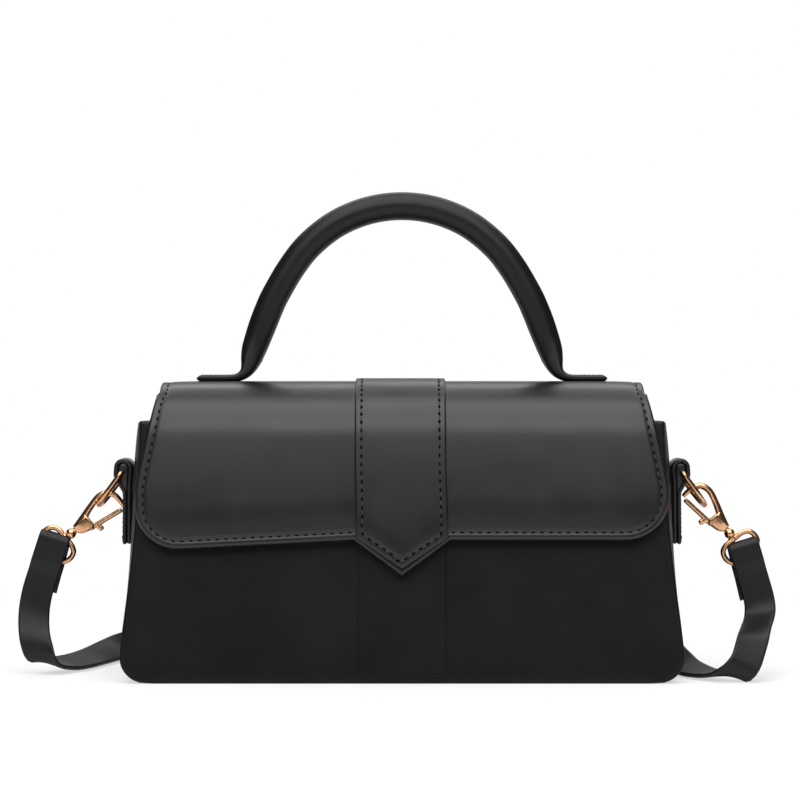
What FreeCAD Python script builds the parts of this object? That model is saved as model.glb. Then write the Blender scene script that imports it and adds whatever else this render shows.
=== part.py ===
import FreeCAD, Part
import math
import os
import Sketcher

# A small structured top-handle bag: a boarded body under a hinged flap, a rolled handle,
# and a long flat strap on two swivel snap hooks. Millimetres, front towards -Y, floor at z 0.

SIZES = {
    # body shell
    "base_width": 220.0,
    "top_width": 208.0,
    "base_depth": 80.0,
    "top_depth": 50.0,
    "body_height": 102.5,
    "corner_radius": 11.0,
    "base_end_height": 14.0,
    "leather_thickness": 1.6,
    "gusset_bulge": 4.0,
    "gusset_low_height": 40.0,
    "strip_width": 34.0,
    "strip_start": 5.0,
    "strip_height": 64.0,
    "strip_thickness": 0.6,
    # stiffening and lining
    "board_thickness": 1.4,
    "board_start_height": 15.0,
    "board_rim_drop": 1.0,
    "base_board_thickness": 2.0,
    "lining_thickness": 0.6,
    "lining_corner_radius": 9.0,
    "fit_gap": 0.3,
    "overrun": 2.0,
    # hidden magnets
    "magnet_radius": 6.0,
    "magnet_height": 66.0,
    "magnet_clearance": 0.1,
    # flap
    "flap_top": 118.0,
    "flap_gap": 1.2,
    "flap_leather": 1.2,
    "flap_rear_radius": 12.0,
    "flap_front_radius": 22.0,
    "flap_top_width": 192.0,
    "flap_wide_width": 208.0,
    "flap_wide_height": 76.0,
    "flap_low_width": 207.0,
    "flap_edge_height": 54.0,
    "flap_middle_height": 56.6,
    "flap_point_width": 38.0,
    "flap_point_height": 42.5,
    "flap_corner_radius": 16.5,
    "flap_board_inset": 5.0,
    "flap_lining_inset": 1.0,
    "hinge_gap": 0.3,
    # raised band on the flap
    "band_top_width": 34.6,
    "band_low_width": 36.0,
    "band_thickness": 1.2,
    "band_shoulder_height": 57.0,
    "band_tip_height": 45.0,
    "band_rear_start": 2.5,
    # rolled handle
    "handle_radius": 5.7,
    "handle_core_radius": 4.0,
    "handle_bend_radius": 53.0,
    "handle_rise": 77.0,
    "handle_leg_lean": 22.0,
    "neck_radius": 6.2,
    "neck_width": 6.4,
    "tab_thickness": 3.0,
    "tab_width": 17.0,
    "tab_length": 26.0,
    "tab_inner_reach": 3.5,
    # side tabs
    "loop_height": 81.3,
    "loop_seat": 4.2,
    "loop_width": 7.7,
    "loop_crown": 5.7,
    "loop_skirt": 2.5,
    "loop_round": 3.2,
    "side_tab_width": 14.0,
    "tail_thickness": 3.6,
    "tail_length": 29.0,
    "tail_step": 6.0,
    # D-rings
    "ring_wire_radius": 1.1,
    "ring_span": 19.0,
    "ring_reach": 16.5,
    "ring_bow_radius": 8.0,
    "ring_corner_radius": 2.0,
    "ring_droop": 54.0,
    # swivel snap hooks
    "left_ball_out": 134.2,
    "right_ball_out": 132.8,
    "ball_height": 56.65,
    "ball_radius": 2.2,
    "left_hook_droop": 39.3,
    "right_hook_droop": 51.2,
    "hook_length": 24.5,
    "hook_wire_radius": 1.1,
    "hook_spread": 5.6,
    "hook_nose": 3.6,
    "hook_setback": 2.0,
    "hook_bend_radius": 4.6,
    "block_start": 2.6,
    "block_end": 9.5,
    "block_rise": 3.2,
    "block_fall": 4.6,
    "block_width": 4.6,
    "arm_root": 1.8,
    "stem_radius": 1.2,
    "stem_depth": 5.4,
    "pivot_reach": 8.0,
    "pivot_fall": 3.3,
    "pin_radius": 0.7,
    "pin_clearance": 0.08,
    "gate_reach": 13.8,
    "gate_heel": 1.2,
    "gate_thickness": 2.0,
    "gate_width": 2.4,
    "gate_droop": 9.0,
    "trigger_start": 1.6,
    "trigger_length": 2.4,
    "trigger_height": 2.0,
    "eye_near": 2.8,
    "eye_far": 10.5,
    "eye_span": 14.8,
    "eye_corner_radius": 3.0,
    # flat strap
    "strap_width": 12.5,
    "strap_thickness": 1.8,
    "fold_length": 26.0,
    "fold_taper": 3.0,
    "left_strap_droop": 72.0,
    "right_strap_droop": 73.5,
    # strap put away behind the bag
    "hank_length": 184.0,
    "hank_pitch": 10.0,
    "hank_start": 54.0,
}

HANK_RUNS = 5
LOW_BULGE_SHARE = 0.25
TOP_BULGE_SHARE = 0.75
ROUTE_TRIM_SHARE = 0.45
MATCH_TOLERANCE = 0.001

doc = FreeCAD.newDocument("baguette_bag")
sheet = doc.addObject("Spreadsheet::Sheet", "Sizes")
for row, (alias, value) in enumerate(SIZES.items(), start=1):
    sheet.set(f"A{row}", alias)
    sheet.set(f"B{row}", str(value))
    sheet.setAlias(f"B{row}", alias)
doc.recompute()

nodes = []
Vector = FreeCAD.Vector
Rotation = FreeCAD.Rotation
Placement = FreeCAD.Placement
X_AXIS = Vector(1, 0, 0)
Y_AXIS = Vector(0, 1, 0)
Z_AXIS = Vector(0, 0, 1)
SIDES = (("left", -1), ("right", 1))


def number(expression):
    """The value of an expression over the sheet's cells."""
    value = sheet.evalExpression(expression)
    return float(getattr(value, "Value", value))


def size(alias):
    """One cell of the sheet."""
    return float(sheet.get(alias))


def keep(label, item):
    """Name a document object as one piece of the bag."""
    item.Label = label
    nodes.append(item)
    return item


def keep_shape(label, shape, placement=FreeCAD.Placement()):
    """A piece whose shape is made directly."""
    item = doc.addObject("Part::Feature", label)
    item.Shape = shape.Solids[0]
    item.Placement = placement * item.Placement
    return keep(label, item)


def turned(side):
    """Half a turn about Z for what is on the left or at the back."""
    return Placement(Vector(), Rotation(Z_AXIS, 180 if side < 0 else 0))


# Sketch and feature helpers

def outline(body, role, corners):
    """A closed polygon whose corners are expressions, measured from the origin."""
    plane = next(item for item in body.Origin.OriginFeatures if item.Role == role)
    sketch = body.newObject("Sketcher::SketchObject", body.Name + "_outline")
    sketch.AttachmentSupport = (plane, "")
    sketch.MapMode = "FlatFace"
    places = [Vector(number(across), number(up), 0) for across, up in corners]
    count = len(places)
    for index in range(count):
        sketch.addGeometry(Part.LineSegment(places[index], places[(index + 1) % count]), False)
    for index in range(count):
        sketch.addConstraint(Sketcher.Constraint("Coincident", index, 2, (index + 1) % count, 1))
    for index, (across, up) in enumerate(corners):
        for kind, text, start in (("DistanceX", across, places[index].x), ("DistanceY", up, places[index].y)):
            entry = sketch.addConstraint(Sketcher.Constraint(kind, -1, 1, index, 1, start))
            sketch.setExpression(f"Constraints[{entry}]", text)
    return sketch


def pad(body, sketch, length, both_ways=False):
    """Pad a sketch along its plane's far side, or evenly to both sides."""
    feature = body.newObject("PartDesign::Pad", body.Name + "_pad")
    feature.Profile = sketch
    feature.setExpression("Length", length)
    feature.Midplane = both_ways
    feature.Reversed = not both_ways
    doc.recompute()
    return feature


def padded(name, role, corners, length, both_ways=False):
    """A body that is one padded polygon."""
    body = doc.addObject("PartDesign::Body", name)
    pad(body, outline(body, role, corners), length, both_ways)
    return body


def round_edges(body, along, places, radius):
    """Fillet the body's edges that run along one axis through the given places."""
    base = body.Tip
    targets = [(number(first), number(second)) for first, second in places]
    names = []
    for index, edge in enumerate(base.Shape.Edges, start=1):
        direction = edge.Vertexes[-1].Point - edge.Vertexes[0].Point
        middle = edge.CenterOfMass
        flat = [middle[axis] for axis in range(3) if axis != along]
        if abs(direction[along]) > edge.Length - MATCH_TOLERANCE:
            if any(math.dist(flat, target) < MATCH_TOLERANCE for target in targets):
                names.append(f"Edge{index}")
    if len(names) != len(targets):
        raise RuntimeError(f"{body.Name}: {len(names)} edges found for {len(targets)} places")
    feature = body.newObject("PartDesign::Fillet", body.Name + "_round")
    feature.Base = (base, names)
    feature.setExpression("Radius", radius)
    doc.recompute()
    return feature


def boolean(kind, name, base, tool):
    """A Part boolean of two document objects."""
    item = doc.addObject(kind, name)
    item.Base = base
    item.Tool = tool
    doc.recompute()
    return item


def mirrored_corners(half):
    """Right-hand corners from top to bottom, then the same on the left from bottom to top."""
    left = [(f"-({across})", up) for across, up in reversed(half) if across != "0"]
    return half + left


# Body frame: the panels lean in towards the top

LEAN = "atan((Sizes.base_depth - Sizes.top_depth) / 2 / Sizes.body_height)"
LIFT = f"Sizes.leather_thickness * sin({LEAN})"
SLOPE_HEIGHT = f"Sizes.body_height / cos({LEAN})"
lean = number(LEAN)
lift = number(LIFT)


def half_width(height):
    """Half the body's width at a height, as an expression."""
    return (f"(Sizes.base_width / 2 - ({height}) * (Sizes.base_width - Sizes.top_width) / 2"
            f" / Sizes.body_height)")


def front_y(height, offset):
    """Y of a plane parallel to the front panel's face, offset outwards."""
    return (f"(-Sizes.base_depth / 2 + (({height}) - {LIFT}) * tan({LEAN})"
            f" - ({offset}) / cos({LEAN}))")


def leaning(inset, facing):
    """Placement of a plate that stands against a panel, inset from the panel's outer face."""
    stand = Placement(Vector(0, -size("base_depth") / 2, lift), Rotation(X_AXIS, -lean))
    return turned(facing) * stand * Placement(Vector(0, inset, 0), Rotation())


def inner_wedge(name, inset, width_inset, floor, roof):
    """The tapering space between the panels, from a floor height to a roof height."""
    wedge = doc.addObject("Part::Wedge", name)
    low_cells = ("Xmin", "Xmax", "Zmin", "Zmax")
    high_cells = ("X2min", "X2max", "Z2min", "Z2max")
    for ends, height in ((low_cells, floor), (high_cells, roof)):
        depth = f"-{front_y(height, '-(' + inset + ')')} - {LIFT}"
        width = f"{half_width(height)} - ({width_inset})"
        for name_of_cell, text in zip(ends, (f"-({width})", width, f"-({depth})", depth)):
            wedge.setExpression(name_of_cell, text)
    wedge.setExpression("Ymin", floor)
    wedge.setExpression("Ymax", roof)
    wedge.Placement = Placement(Vector(), Rotation(X_AXIS, 90))
    doc.recompute()
    return wedge


# Front and back panels, with rounded lower corners

PANEL_CORNERS = mirrored_corners([
    ("Sizes.top_width / 2", SLOPE_HEIGHT),
    ("Sizes.base_width / 2", "0"),
])
LOW_CORNERS = [("Sizes.base_width / 2", "0"), ("-Sizes.base_width / 2", "0")]
for label, facing in (("front_panel", 1), ("back_panel", -1)):
    panel = padded(label + "_body", "XZ_Plane", PANEL_CORNERS, "Sizes.leather_thickness")
    round_edges(panel, 1, LOW_CORNERS, "Sizes.corner_radius")
    panel.Placement = leaning(0, facing)
    keep(label, panel)

# Centre strip, laid on the front panel

STRIP_CORNERS = mirrored_corners([
    ("Sizes.strip_width / 2", "Sizes.strip_height"),
    ("Sizes.strip_width / 2", "Sizes.strip_start"),
])
strip = padded("front_strip_body", "XZ_Plane", STRIP_CORNERS, "Sizes.strip_thickness")
strip.Placement = leaning(-size("strip_thickness"), 1)
keep("front_centre_strip", strip)

# Base panel, turned up at both ends

BASE_CORNERS = mirrored_corners([
    (f"{half_width('Sizes.base_end_height')} - Sizes.leather_thickness", "Sizes.base_end_height"),
    (half_width("Sizes.base_end_height"), "Sizes.base_end_height"),
    ("Sizes.base_width / 2", "0"),
])
INNER_HALF = f"{half_width('Sizes.leather_thickness')} - Sizes.leather_thickness"
INNER_CORNERS = [(f"-({INNER_HALF})", "Sizes.leather_thickness"), (INNER_HALF, "Sizes.leather_thickness")]
BASE_CORNERS = BASE_CORNERS + INNER_CORNERS
base_bend = padded("base_bend", "XZ_Plane", BASE_CORNERS, "Sizes.base_depth", True)
round_edges(base_bend, 1, LOW_CORNERS, "Sizes.corner_radius")
round_edges(base_bend, 1, INNER_CORNERS, "Sizes.corner_radius - Sizes.leather_thickness")
between_panels = inner_wedge("between_panels", "Sizes.leather_thickness", "-Sizes.overrun", "0",
                             "Sizes.base_end_height + Sizes.overrun")
keep("base_panel", boolean("Part::Common", "base_panel_cut", base_bend, between_panels))


# Gussets, which swell outwards at mid depth

def gusset_station(height, bulge_share):
    """Seam place, crest place and half depth of the gusset at a height."""
    seam = number(half_width(str(height)))
    depth = -number(front_y(str(height), "-Sizes.leather_thickness")) - lift
    return seam, seam + bulge_share * size("gusset_bulge"), depth


def gusset_section(side, height, bulge_share):
    """One level section: two arcs a leather thickness apart."""
    seam, crest, depth = gusset_station(height, bulge_share)
    wall = size("leather_thickness")
    front_seam = Vector(side * seam, -depth, height)
    outer = [front_seam, Vector(side * crest, 0, height), Vector(side * seam, depth, height)]
    inner = [point - Vector(side * wall, 0, 0) for point in outer]
    edges = [
        Part.Arc(*outer).toShape(),
        Part.makeLine(outer[2], inner[2]),
        Part.Arc(*reversed(inner)).toShape(),
        Part.makeLine(inner[0], outer[0]),
    ]
    return Part.Wire(edges)


GUSSET_STATIONS = (
    (size("base_end_height"), LOW_BULGE_SHARE),
    (size("gusset_low_height"), 1),
    (size("body_height"), TOP_BULGE_SHARE),
)
for label, side in SIDES:
    sections = [gusset_section(side, height, bulge_share) for height, bulge_share in GUSSET_STATIONS]
    keep_shape(label + "_gusset", Part.makeLoft(sections, True, True))

# Stiffening boards inside the panels, the front one with a pocket for its magnet

BOARD_SIDE = "(Sizes.leather_thickness + Sizes.fit_gap)"
BOARD_ROOF = f"({SLOPE_HEIGHT} - Sizes.board_rim_drop)"
BOARD_CORNERS = mirrored_corners([
    (f"{half_width(BOARD_ROOF)} - {BOARD_SIDE}", BOARD_ROOF),
    (f"{half_width('Sizes.board_start_height')} - {BOARD_SIDE}", "Sizes.board_start_height"),
])


def magnet_disc(name, inset, radius):
    """A disc through a board's thickness, at the magnet's height up the front panel."""
    disc = doc.addObject("Part::Cylinder", name)
    disc.setExpression("Radius", radius)
    disc.setExpression("Height", "Sizes.board_thickness")
    upright = Placement(Vector(0, 0, size("magnet_height")), Rotation(X_AXIS, -90))
    disc.Placement = leaning(inset, 1) * upright
    doc.recompute()
    return disc


POCKET_RADIUS = "Sizes.magnet_radius + Sizes.magnet_clearance"
board_inset = size("leather_thickness")
front_blank = padded("front_board_blank", "XZ_Plane", BOARD_CORNERS, "Sizes.board_thickness")
front_blank.Placement = leaning(board_inset, 1)
front_pocket = magnet_disc("front_magnet_pocket", board_inset, POCKET_RADIUS)
keep("front_board", boolean("Part::Cut", "front_board_cut", front_blank, front_pocket))
keep("front_magnet", magnet_disc("front_magnet_disc", board_inset, "Sizes.magnet_radius"))
back_board = padded("back_board_body", "XZ_Plane", BOARD_CORNERS, "Sizes.board_thickness")
back_board.Placement = leaning(board_inset, -1)
keep("back_board", back_board)

BASE_BOARD_TOP = "(Sizes.leather_thickness + Sizes.base_board_thickness)"
BASE_BOARD_HALF = f"(-{front_y(BASE_BOARD_TOP, '-Sizes.leather_thickness')} - Sizes.fit_gap)"
base_board = doc.addObject("Part::Box", "base_board_box")
base_board.setExpression("Length", "Sizes.base_width - 2 * Sizes.base_end_height")
base_board.setExpression("Width", f"2 * {BASE_BOARD_HALF}")
base_board.setExpression("Height", "Sizes.base_board_thickness")
base_board_start = size("base_end_height") - size("base_width") / 2
base_board.Placement = Placement(
    Vector(base_board_start, -number(BASE_BOARD_HALF), size("leather_thickness")), Rotation())
keep("base_board", base_board)

# Lining: a thin tub inside the boards

LINING_FLOOR = f"({BASE_BOARD_TOP})"
LINING_DEPTH_INSET = "Sizes.leather_thickness + Sizes.board_thickness"
LINING_ROOF = "Sizes.body_height - Sizes.board_rim_drop"


def lining_block(name, extra, roof):
    """The lining's outside or inside as a solid, with rounded lower corners."""
    side_inset = f"Sizes.leather_thickness + Sizes.fit_gap + {extra}"
    floor = f"{LINING_FLOOR} + {extra}"
    low_corner = (f"{half_width(floor)} - ({side_inset})", floor)
    corners = mirrored_corners([(f"{half_width(roof)} - ({side_inset})", roof), low_corner])
    block = padded(name + "_block", "XZ_Plane", corners, "Sizes.base_depth", True)
    round_edges(block, 1, [low_corner, (f"-({low_corner[0]})", floor)],
                f"Sizes.lining_corner_radius - {extra}")
    wedge = inner_wedge(name + "_wedge", f"{LINING_DEPTH_INSET} + {extra}", "-Sizes.overrun", floor, roof)
    return boolean("Part::Common", name, block, wedge)


lining_outside = lining_block("lining_outside", "0", LINING_ROOF)
lining_inside = lining_block("lining_inside", "Sizes.lining_thickness", f"{LINING_ROOF} + Sizes.overrun")
keep("lining", boolean("Part::Cut", "lining_cut", lining_outside, lining_inside))

# Flap: leather, board and lining bent over the top, hinged on the back panel's upper edge

HINGE_HEIGHT = f"(Sizes.body_height + {LIFT} + Sizes.hinge_gap)"
FLAP_STACK = "(Sizes.flap_gap + Sizes.lining_thickness + Sizes.board_thickness + Sizes.flap_leather)"
FLAP_FOOT = "(Sizes.flap_point_height - Sizes.overrun)"


def flap_face(depth, rear_start):
    """Corners in Y and Z of the bent face that lies a depth inside the flap's outer face."""
    rear = f"Sizes.top_depth / 2 - ({depth})"
    roof = f"(Sizes.flap_top - ({depth}))"
    offset = f"{FLAP_STACK} - ({depth})"
    rear_foot = f"{HINGE_HEIGHT} + {rear_start}"
    front_foot = (front_y(FLAP_FOOT, offset), FLAP_FOOT)
    return [(rear, rear_foot), (rear, roof), (front_y(roof, offset), roof), front_foot]


def flap_layer(name, depth, thickness, corners, rear_start="0"):
    """One layer of the flap: a strip bent over two shoulders, cut to a front outline."""
    outer = flap_face(depth, rear_start)
    inner = flap_face(f"{depth} + {thickness}", rear_start)
    strip_body = padded(name + "_strip", "YZ_Plane", outer + inner[::-1], "Sizes.base_width", True)
    for radius, corner in (("Sizes.flap_rear_radius", 1), ("Sizes.flap_front_radius", 2)):
        round_edges(strip_body, 0, [outer[corner]], f"{radius} - ({depth})")
        round_edges(strip_body, 0, [inner[corner]], f"{radius} - ({depth}) - {thickness}")
    front = padded(name + "_front", "XZ_Plane", corners, "2 * Sizes.base_depth", True)
    return strip_body, front


def flap_corners(inset):
    """The flap's front outline, drawn in by an inset."""
    return mirrored_corners([
        (f"Sizes.flap_top_width / 2 - {inset}", "Sizes.flap_top + Sizes.overrun"),
        (f"Sizes.flap_wide_width / 2 - {inset}", "Sizes.flap_wide_height"),
        (f"Sizes.flap_low_width / 2 - {inset}", f"Sizes.flap_edge_height + {inset}"),
        ("Sizes.flap_point_width / 2", f"Sizes.flap_middle_height + {inset}"),
        ("0", f"Sizes.flap_point_height + {inset}"),
    ])


def flap_sheet(name, depth, thickness, inset):
    """A full layer of the flap with its two rounded lower corners."""
    corners = flap_corners(inset)
    strip_body, front = flap_layer(name, depth, thickness, corners)
    low_corner = corners[2]
    round_edges(front, 1, [low_corner, (f"-({low_corner[0]})", low_corner[1])],
                f"Sizes.flap_corner_radius - {inset}")
    return boolean("Part::Common", name, strip_body, front)


keep("flap_outer", flap_sheet("flap_leather_sheet", "0", "Sizes.flap_leather", "0"))
flap_board_sheet = flap_sheet("flap_board_sheet", "Sizes.flap_leather", "Sizes.board_thickness",
                              "Sizes.flap_board_inset")
flap_magnet_inset = -number("Sizes.flap_gap + Sizes.lining_thickness + Sizes.board_thickness")
flap_pocket = magnet_disc("flap_magnet_pocket", flap_magnet_inset, POCKET_RADIUS)
keep("flap_board", boolean("Part::Cut", "flap_board_cut", flap_board_sheet, flap_pocket))
keep("flap_magnet", magnet_disc("flap_magnet_disc", flap_magnet_inset, "Sizes.magnet_radius"))
keep("flap_lining", flap_sheet("flap_lining_sheet", "Sizes.flap_leather + Sizes.board_thickness",
                               "Sizes.lining_thickness", "Sizes.flap_lining_inset"))

BAND_CORNERS = mirrored_corners([
    ("Sizes.band_top_width / 2", "Sizes.flap_top + Sizes.overrun"),
    ("Sizes.band_low_width / 2", "Sizes.band_shoulder_height"),
    ("0", "Sizes.band_tip_height"),
])
band_strip, band_front = flap_layer("band_sheet", "-Sizes.band_thickness", "Sizes.band_thickness",
                                    BAND_CORNERS, "Sizes.band_rear_start")
keep("flap_band", boolean("Part::Common", "band_sheet", band_strip, band_front))

# Rolled handle: a padded tube whose pinched ends rock on two tabs on the flap

front_shoulder = front_y("Sizes.flap_top", FLAP_STACK)
FRONT_TURN = f"(90 deg - {LEAN})"
handle_y = number(f"(Sizes.top_depth / 2 - Sizes.flap_rear_radius + {front_shoulder}"
                  f" + Sizes.flap_front_radius * tan({FRONT_TURN} / 2)) / 2")
tab_top = size("flap_top") + size("tab_thickness")
pivot_height = tab_top + size("neck_radius") + size("fit_gap")
leg_lean = math.radians(size("handle_leg_lean"))
bend_radius = size("handle_bend_radius")
bend_centre = size("flap_top") + size("handle_rise") - size("handle_radius") - bend_radius
bend_out = bend_radius * math.cos(leg_lean)
bend_foot = bend_centre + bend_radius * math.sin(leg_lean)
neck_out = bend_out + (bend_foot - pivot_height) * math.tan(leg_lean)


def handle_tube(radius):
    """A rod along the handle's arch: two legs and the bend between them."""
    foot = [Vector(side * neck_out, handle_y, pivot_height) for _, side in SIDES]
    shoulder = [Vector(side * bend_out, handle_y, bend_foot) for _, side in SIDES]
    crown = Vector(0, handle_y, bend_centre + bend_radius)
    path = Part.Wire([
        Part.makeLine(foot[0], shoulder[0]),
        Part.Arc(shoulder[0], crown, shoulder[1]).toShape(),
        Part.makeLine(shoulder[1], foot[1]),
    ])
    profile = Part.Wire(Part.Circle(foot[0], shoulder[0] - foot[0], radius).toShape())
    return path.makePipeShell([profile], True, False)


core = handle_tube(size("handle_core_radius"))
cover = handle_tube(size("handle_radius"))
for _, side in SIDES:
    neck_start = Vector(side * neck_out - size("neck_width") / 2, handle_y, pivot_height)
    cover = cover.fuse(Part.makeCylinder(size("neck_radius"), size("neck_width"), neck_start, X_AXIS))
cover = cover.cut(core)
keep_shape("handle_cover", cover)
keep_shape("handle_core", core)
for label, side in SIDES:
    tab = doc.addObject("Part::Box", label + "_tab_box")
    tab.setExpression("Length", "Sizes.tab_length")
    tab.setExpression("Width", "Sizes.tab_width")
    tab.setExpression("Height", "Sizes.tab_thickness")
    seat_corner = Vector(neck_out - size("tab_inner_reach"), -size("tab_width") / 2, size("flap_top"))
    seat = Placement(seat_corner, Rotation())
    tab.Placement = Placement(Vector(0, handle_y, 0), Rotation()) * turned(side) * seat
    keep(label + "_handle_tab", tab)

# Side tabs: leather folded round each D-ring's bar, with its tail down the gusset's crest

low_crest = gusset_station(size("gusset_low_height"), 1)[1]
top_crest = gusset_station(size("body_height"), TOP_BULGE_SHARE)[1]
crest_height = size("body_height") - size("gusset_low_height")
crest_lean = math.degrees(math.atan2(low_crest - top_crest, crest_height))
loop_rise_share = (size("loop_height") - size("gusset_low_height")) / crest_height
seat_out = low_crest + (top_crest - low_crest) * loop_rise_share
LOOP_TOP = [("0", "Sizes.loop_crown"), ("Sizes.loop_width", "Sizes.loop_crown")]
SIDE_TAB_CORNERS = [
    ("0", "-Sizes.tail_length"),
    ("Sizes.tail_thickness", "-Sizes.tail_length"),
    ("Sizes.tail_thickness", "-Sizes.tail_step"),
    ("Sizes.loop_width", "-Sizes.loop_skirt"),
    LOOP_TOP[1],
    LOOP_TOP[0],
]
ring_places = {}
for label, side in SIDES:
    loop_body = padded(label + "_loop", "XZ_Plane", SIDE_TAB_CORNERS, "Sizes.side_tab_width", True)
    round_edges(loop_body, 1, LOOP_TOP, "Sizes.loop_round")
    seat = Placement(Vector(seat_out, 0, size("loop_height")), Rotation(Y_AXIS, -crest_lean))
    loop_body.Placement = turned(side) * seat
    bore = doc.addObject("Part::Cylinder", label + "_loop_bore")
    bore.setExpression("Radius", "Sizes.ring_wire_radius + Sizes.fit_gap")
    bore.setExpression("Height", "Sizes.side_tab_width + 2 * Sizes.overrun")
    bore_start = Vector(size("loop_seat"), -size("side_tab_width") / 2 - size("overrun"), 0)
    bore.Placement = turned(side) * seat * Placement(bore_start, Rotation(X_AXIS, -90))
    keep(label + "_side_tab", boolean("Part::Cut", label + "_side_tab_cut", loop_body, bore))
    ring_places[side] = (turned(side) * seat).multVec(Vector(size("loop_seat"), 0, 0))


# Bent paths: straight runs joined by tangent arcs

def bend_at(before, corner, after, trim):
    """Start, middle and end of the arc at a corner, and its radius."""
    arriving = (corner - before).normalize()
    leaving = (after - corner).normalize()
    half_turn = arriving.getAngle(leaving) / 2
    radius = trim / math.tan(half_turn)
    inward = (leaving - arriving).normalize()
    middle = corner + inward * (radius / math.cos(half_turn) - radius)
    return corner - arriving * trim, middle, corner + leaving * trim, radius


def bent_wire(points, radii):
    """A wire through points, with an arc of the given radius at each inner point."""
    edges = []
    start = points[0]
    for index, radius in enumerate(radii, start=1):
        before, corner, after = points[index - 1:index + 2]
        half_turn = (corner - before).getAngle(after - corner) / 2
        first, middle, last, _ = bend_at(before, corner, after, radius * math.tan(half_turn))
        edges.append(Part.makeLine(start, first))
        edges.append(Part.Arc(first, middle, last).toShape())
        start = last
    edges.append(Part.makeLine(start, points[-1]))
    return Part.Wire(edges)


def bent_rod(points, radii, radius):
    """A round rod along such a wire."""
    profile = Part.Wire(Part.Circle(points[0], points[1] - points[0], radius).toShape())
    return bent_wire(points, radii).makePipeShell([profile], True, False)


# D-rings: the straight bar lies along Y in the tab's loop

def ring_shape():
    """A closed D of round wire, drawn from the middle of its bar."""
    half_span = size("ring_span") / 2
    reach = size("ring_reach")
    points = [Vector(), Vector(0, half_span, 0), Vector(reach, half_span, 0), Vector(reach, -half_span, 0),
              Vector(0, -half_span, 0), Vector()]
    corner = size("ring_corner_radius")
    bow = size("ring_bow_radius")
    return bent_rod(points, [corner, bow, bow, corner], size("ring_wire_radius"))


# Snap hook: block, curved arm, sprung gate on a pin, swivel ball and eye

def hook_shape():
    """A block on the swivel with a bent arm; the pear opens towards -x and the gate lies at -z."""
    block = Part.makeBox(size("block_end") - size("block_start"), size("block_width"),
                         size("block_rise") + size("block_fall"),
                         Vector(-size("block_end"), -size("block_width") / 2, -size("block_fall")))
    bore_radius = size("stem_radius") + size("fit_gap")
    bore = Part.makeCylinder(bore_radius, size("stem_depth") + size("fit_gap"), Vector(), X_AXIS * -1)
    slot_width = size("gate_width") + 2 * size("fit_gap")
    slot_reach = size("pivot_reach") - size("gate_heel") - size("fit_gap")
    slot_roof = size("gate_thickness") / 2 + 2 * size("fit_gap") - size("pivot_fall")
    slot = Part.makeBox(size("block_end") - slot_reach + size("overrun"), slot_width,
                        slot_roof + size("block_fall") + size("overrun"),
                        Vector(-size("block_end") - size("overrun"), -slot_width / 2,
                               -size("block_fall") - size("overrun")))
    top = size("hook_length") - size("hook_wire_radius")
    points = [
        Vector(-size("pivot_reach"), 0, size("arm_root")),
        Vector(size("hook_setback") - top, 0, size("hook_spread")),
        Vector(-top, 0, -size("hook_nose")),
    ]
    arm = bent_rod(points, [size("hook_bend_radius")], size("hook_wire_radius"))
    pin = pin_shape(size("pin_radius"))
    return block.cut(bore).cut(slot).fuse(arm).cut(pin)


def pin_shape(radius):
    """The gate's pivot pin, across the block."""
    start = Vector(-size("pivot_reach"), -size("block_width") / 2, -size("pivot_fall"))
    return Part.makeCylinder(radius, size("block_width"), start, Y_AXIS)


def gate_shape():
    """A straight bar with a round heel and a thumb trigger, bored for its pin."""
    width = size("gate_width")
    thick = size("gate_thickness")
    bar = Part.makeBox(size("gate_reach"), width, thick, Vector(-size("gate_reach"), -width / 2, -thick / 2))
    heel = Part.makeCylinder(size("gate_heel"), width, Vector(0, -width / 2, 0), Y_AXIS)
    trigger_start = size("trigger_start") + size("trigger_length")
    trigger = Part.makeBox(size("trigger_length"), width, size("trigger_height") + thick / 2,
                           Vector(-trigger_start, -width / 2, -size("trigger_height") - thick / 2))
    bore_radius = size("pin_radius") + size("pin_clearance")
    bored = Part.makeCylinder(bore_radius, width, Vector(0, -width / 2, 0), Y_AXIS)
    gate = bar.fuse(heel).fuse(trigger).cut(bored)
    gate.rotate(Vector(), Y_AXIS, -size("gate_droop"))
    gate.translate(Vector(-size("pivot_reach"), 0, -size("pivot_fall")))
    return gate


def eye_shape(gap=0):
    """Stem, ball and a rounded loop for the strap, turning on the hook's axis; gap makes them larger."""
    near = size("eye_near")
    far = size("eye_far")
    half_span = size("eye_span") / 2
    points = [Vector(near, 0, 0), Vector(near, 0, half_span), Vector(far, 0, half_span),
              Vector(far, 0, -half_span), Vector(near, 0, -half_span), Vector(near, 0, 0)]
    loop = bent_rod(points, [size("eye_corner_radius")] * 4, size("hook_wire_radius") + gap)
    stem = Part.makeCylinder(size("stem_radius") + gap, near + size("stem_depth"),
                             Vector(-size("stem_depth"), 0, 0), X_AXIS)
    ball = Part.makeSphere(size("ball_radius") + gap)
    return loop.fuse(stem).fuse(ball)


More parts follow.
